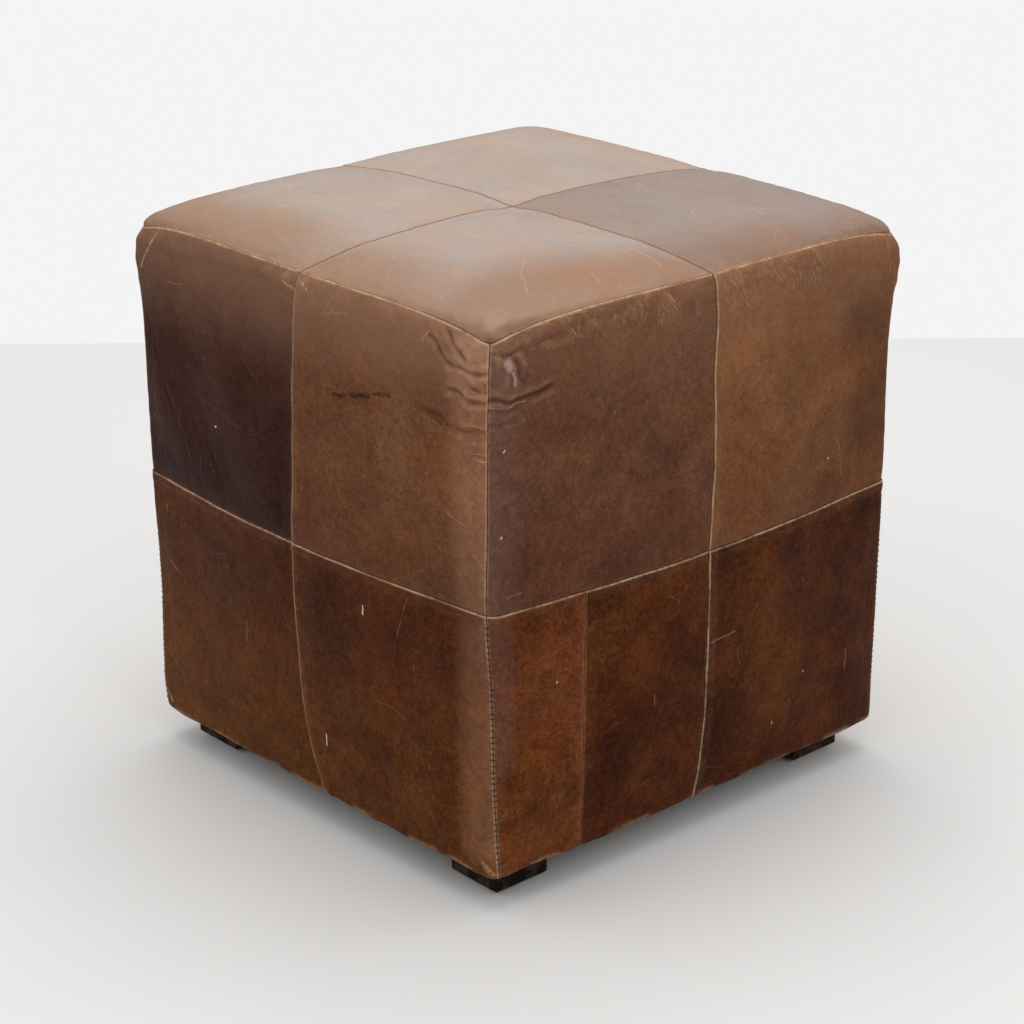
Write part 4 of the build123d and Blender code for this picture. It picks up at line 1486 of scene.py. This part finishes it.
def plywood():
    """Pale veneer, with dark glue lines between the plies at its edges."""
    m = Nodes("plywood")
    height = m.dot(m.place, (0, 0, 1))
    plies = m.maths("PINGPONG", m.product(height, 1000), 1.7)
    layers = m.step(plies, 0.6, 1.1)
    grain = m.noise(110, 4, 0.6, 1.0, at=m.stretched((0.06, 1, 1)))
    pale = m.ramp(grain, [(0.3, (0.42, 0.27, 0.14)), (0.7, (0.62, 0.44, 0.26))])
    colour = m.mix(m.product(layers, 0.35), pale, (0.22, 0.12, 0.06))
    return m.finish(colour, m.step(grain, 0.3, 0.7, 0.7, 0.55), m.bump(grain, 0.3, 0.0006))


def hardboard():
    """Brown pressed fibre, a little patchy."""
    m = Nodes("hardboard")
    fibres = m.noise(420, 5, 0.75, 1.0)
    patches = m.noise(26, 3, 0.6)
    colour = m.ramp(m.total(m.product(fibres, 0.7), m.product(patches, 0.3)),
                    [(0.36, (0.085, 0.040, 0.018)), (0.60, (0.19, 0.10, 0.05))])
    return m.finish(colour, m.step(fibres, 0.3, 0.7, 0.75, 0.55), m.bump(fibres, 0.3, 0.0004))


def zinc_steel():
    """Plated steel with a faint spangle."""
    m = Nodes("zinc_steel", Metallic=1.0)
    spangle = m.cells(700.0)
    streaks = m.noise(300, 3, 0.6)
    colour = m.ramp(m.total(m.product(spangle, 0.5), m.product(streaks, 0.5)),
                    [(0.3, (0.34, 0.35, 0.36)), (0.7, (0.62, 0.63, 0.63))])
    return m.finish(colour, m.step(streaks, 0.3, 0.7, 0.28, 0.5), m.bump(streaks, 0.2, 0.0002))


def fibrous(name, dark, light, scale, sheen=0.3, roughness=0.95, depth=0.0008):
    """Felt, wadding or thread: matted fibres with a little sheen."""
    m = Nodes(name, Sheen_Weight=sheen, Sheen_Roughness=0.5, Specular_IOR_Level=0.2)
    fibres = m.noise(scale, 5, 0.8, 2.0)
    lumps = m.noise(scale * 0.12, 3, 0.5)
    value = m.total(m.product(fibres, 0.65), m.product(lumps, 0.35))
    colour = m.ramp(value, [(0.32, dark), (0.66, light)])
    rough = m.step(fibres, 0.2, 0.8, roughness, roughness - 0.15)
    return m.finish(colour, rough, m.bump(value, 0.6, depth))


def foam():
    """Foam that has yellowed unevenly with age."""
    m = Nodes("foam", Specular_IOR_Level=0.2)
    cells = m.cells(900.0)
    age = m.noise(14, 3, 0.5)
    colour = m.ramp(m.total(m.product(cells, 0.35), m.product(age, 0.65)),
                    [(0.3, (0.72, 0.62, 0.36)), (0.7, (0.86, 0.80, 0.58))])
    return m.finish(colour, m.step(age, 0.3, 0.7, 0.95, 0.85), m.bump(cells, 0.5, 0.0008))


def woven(name, dark, light):
    """Thin spun cloth: two crossed sets of fine threads."""
    m = Nodes(name, Specular_IOR_Level=0.15, Sheen_Weight=0.15)
    inputs = {"Vector": m.place, "Scale": 150.0, "Distortion": 1.5, "Detail": 2.0}
    bands = [m.add("ShaderNodeTexWave", inputs, "Fac", bands_direction=way) for way in "XY"]
    weave = m.maths("MAXIMUM", *bands)
    dust = m.noise(24, 4, 0.6)
    colour = m.ramp(m.total(m.product(weave, 0.4), m.product(dust, 0.6)), [(0.3, dark), (0.75, light)])
    return m.finish(colour, m.step(dust, 0.3, 0.7, 0.9, 0.75), m.bump(weave, 0.4, 0.0003))


def wear_on(piece, material):
    """Puts one material on a piece in place of whatever it came with."""
    piece.data.materials.clear()
    piece.data.materials.append(material)


PINE = ((0.30, 0.16, 0.07), (0.60, 0.42, 0.23))
pine_upright = wood("frame_pine_upright", *PINE)
pine_x = wood("frame_pine_along_x", *PINE, along=(0.08, 1, 1))
pine_y = wood("frame_pine_along_y", *PINE, along=(1, 0.08, 1))
# CAD nodes wear the first of these whose name theirs starts with
node_materials = {
    "corner_post_": pine_upright,
    "top_rail_front": pine_x,
    "top_rail_back": pine_x,
    "bottom_rail_front": pine_x,
    "bottom_rail_back": pine_x,
    "top_rail_": pine_y,
    "bottom_rail_": pine_y,
    "deck_stretcher": pine_y,
    "rail_dowels": wood("dowel_beech", (0.45, 0.27, 0.15), (0.66, 0.46, 0.30), along=(1, 1, 1)),
    "seat_deck": plywood(),
    "side_board_": hardboard(),
    "foot_screws": zinc_steel(),
    "foot_": foot_wood(),
    "felt_glides": fibrous("felt", (0.20, 0.19, 0.17), (0.52, 0.50, 0.46), 900),
}
for fasteners in ("deck_screws", "stretcher_screws", "board_nails", "cover_staples", "dust_cloth_staples"):
    node_materials[fasteners] = node_materials["foot_screws"]
for name, piece in nodes.items():
    material = next((found for start, found in node_materials.items() if name.startswith(start)), None)
    if material:
        wear_on(piece, material)
inner_materials = {
    "batting": fibrous("batting", (0.62, 0.62, 0.60), (0.86, 0.86, 0.84), 500, depth=0.002),
    "foam": foam(),
    "dust_cloth": woven("dust_cloth", (0.006, 0.006, 0.006), (0.030, 0.029, 0.028)),
    "waxed_thread": fibrous(
        "waxed_thread", (0.010, 0.005, 0.003), (0.050, 0.026, 0.015), 1500, sheen=0.1, roughness=0.6
    ),
}
for piece, slot in inner_pieces.values():
    wear_on(piece, inner_materials[slot])


# ---- Stage, light and camera --------------------------------------------------------------------
FLOOR_HALF, FLOOR_TURN = 1.16, math.radians(48.3)
FLOOR_COLOUR = (0.60, 0.59, 0.58)


def floor_paint():
    m = Nodes("floor_paint", Specular_IOR_Level=0.1)
    tone = m.ramp(m.noise(3, 2, 0.5), [(0.3, scaled(FLOOR_COLOUR, 0.985)), (0.7, FLOOR_COLOUR)])
    return m.finish(tone, m.step(m.noise(8, 2, 0.5), 0.3, 0.7, 0.75, 0.65))


bpy.ops.mesh.primitive_plane_add(size=2 * FLOOR_HALF, location=(0, 0, FLOOR_Z), rotation=(0, 0, FLOOR_TURN))
floor = bpy.context.object
floor.name = "floor"
floor.data.materials.append(floor_paint())


def build_world():
    """A pale backdrop to the eye; as light, a soft dome that is brightest overhead."""
    world = bpy.data.worlds.new("studio")
    bpy.context.scene.world = world
    world.use_nodes = True
    sky = Tree(world.node_tree)
    upwards = sky.add("ShaderNodeSeparateXYZ", {0: sky.add("ShaderNodeTexCoord", {}, "Generated")}, "Z")
    dome = sky.ramp(upwards, [(0.0, (0.24, 0.24, 0.24)), (0.60, (1.15, 1.15, 1.15))], "LINEAR")
    to_eye = sky.add("ShaderNodeLightPath", {}, "Is Camera Ray")
    seen = sky.mix(to_eye, dome, (0.905, 0.905, 0.905))
    sky.feed(world.node_tree.nodes["Background"].inputs["Color"], seen)


build_world()


def softbox(name, size, place, power):
    """A square area lamp that faces the pouf's middle."""
    lamp = bpy.data.lights.new(name, "AREA")
    lamp.size = size
    lamp.energy = power
    lamp_object = bpy.data.objects.new(name, lamp)
    bpy.context.scene.collection.objects.link(lamp_object)
    aim = Vector((0, 0, 0.25)) - Vector(place)
    lamp_object.location = place
    lamp_object.rotation_euler = aim.to_track_quat("-Z", "Y").to_euler()


softbox("overhead", 1.8, (-0.2, 0.3, 2.4), 26)
softbox("window", 1.2, (2.2, -0.3, 1.3), 9)
softbox("fill", 1.4, (-0.6, -2.4, 1.5), 10)

CAMERA_AT = Vector((1.6199, -1.4459, 1.0690))
CAMERA_YAW, CAMERA_PITCH, CAMERA_ROLL = 138.302, -21.403, 0.359
CAMERA_LENS, CAMERA_SENSOR = 95.32, 36.0


def look(yaw, pitch, roll):
    """A camera's turn for where it faces, in degrees."""
    yaw, pitch, roll = math.radians(yaw), math.radians(pitch), math.radians(roll)
    ahead = Vector((math.cos(pitch) * math.cos(yaw), math.cos(pitch) * math.sin(yaw), math.sin(pitch)))
    across = ahead.cross(Vector((0, 0, 1))).normalized()
    return Matrix((across, across.cross(ahead), -ahead)).transposed() @ Matrix.Rotation(-roll, 3, "Z")


camera = bpy.data.objects.new("camera", bpy.data.cameras.new("camera"))
bpy.context.scene.collection.objects.link(camera)
camera.data.lens = CAMERA_LENS
camera.data.sensor_width = CAMERA_SENSOR
camera.matrix_world = Matrix.Translation(CAMERA_AT) @ look(CAMERA_YAW, CAMERA_PITCH, CAMERA_ROLL).to_4x4()
bpy.context.scene.camera = camera
bpy.context.scene.view_settings.view_transform = "Standard"
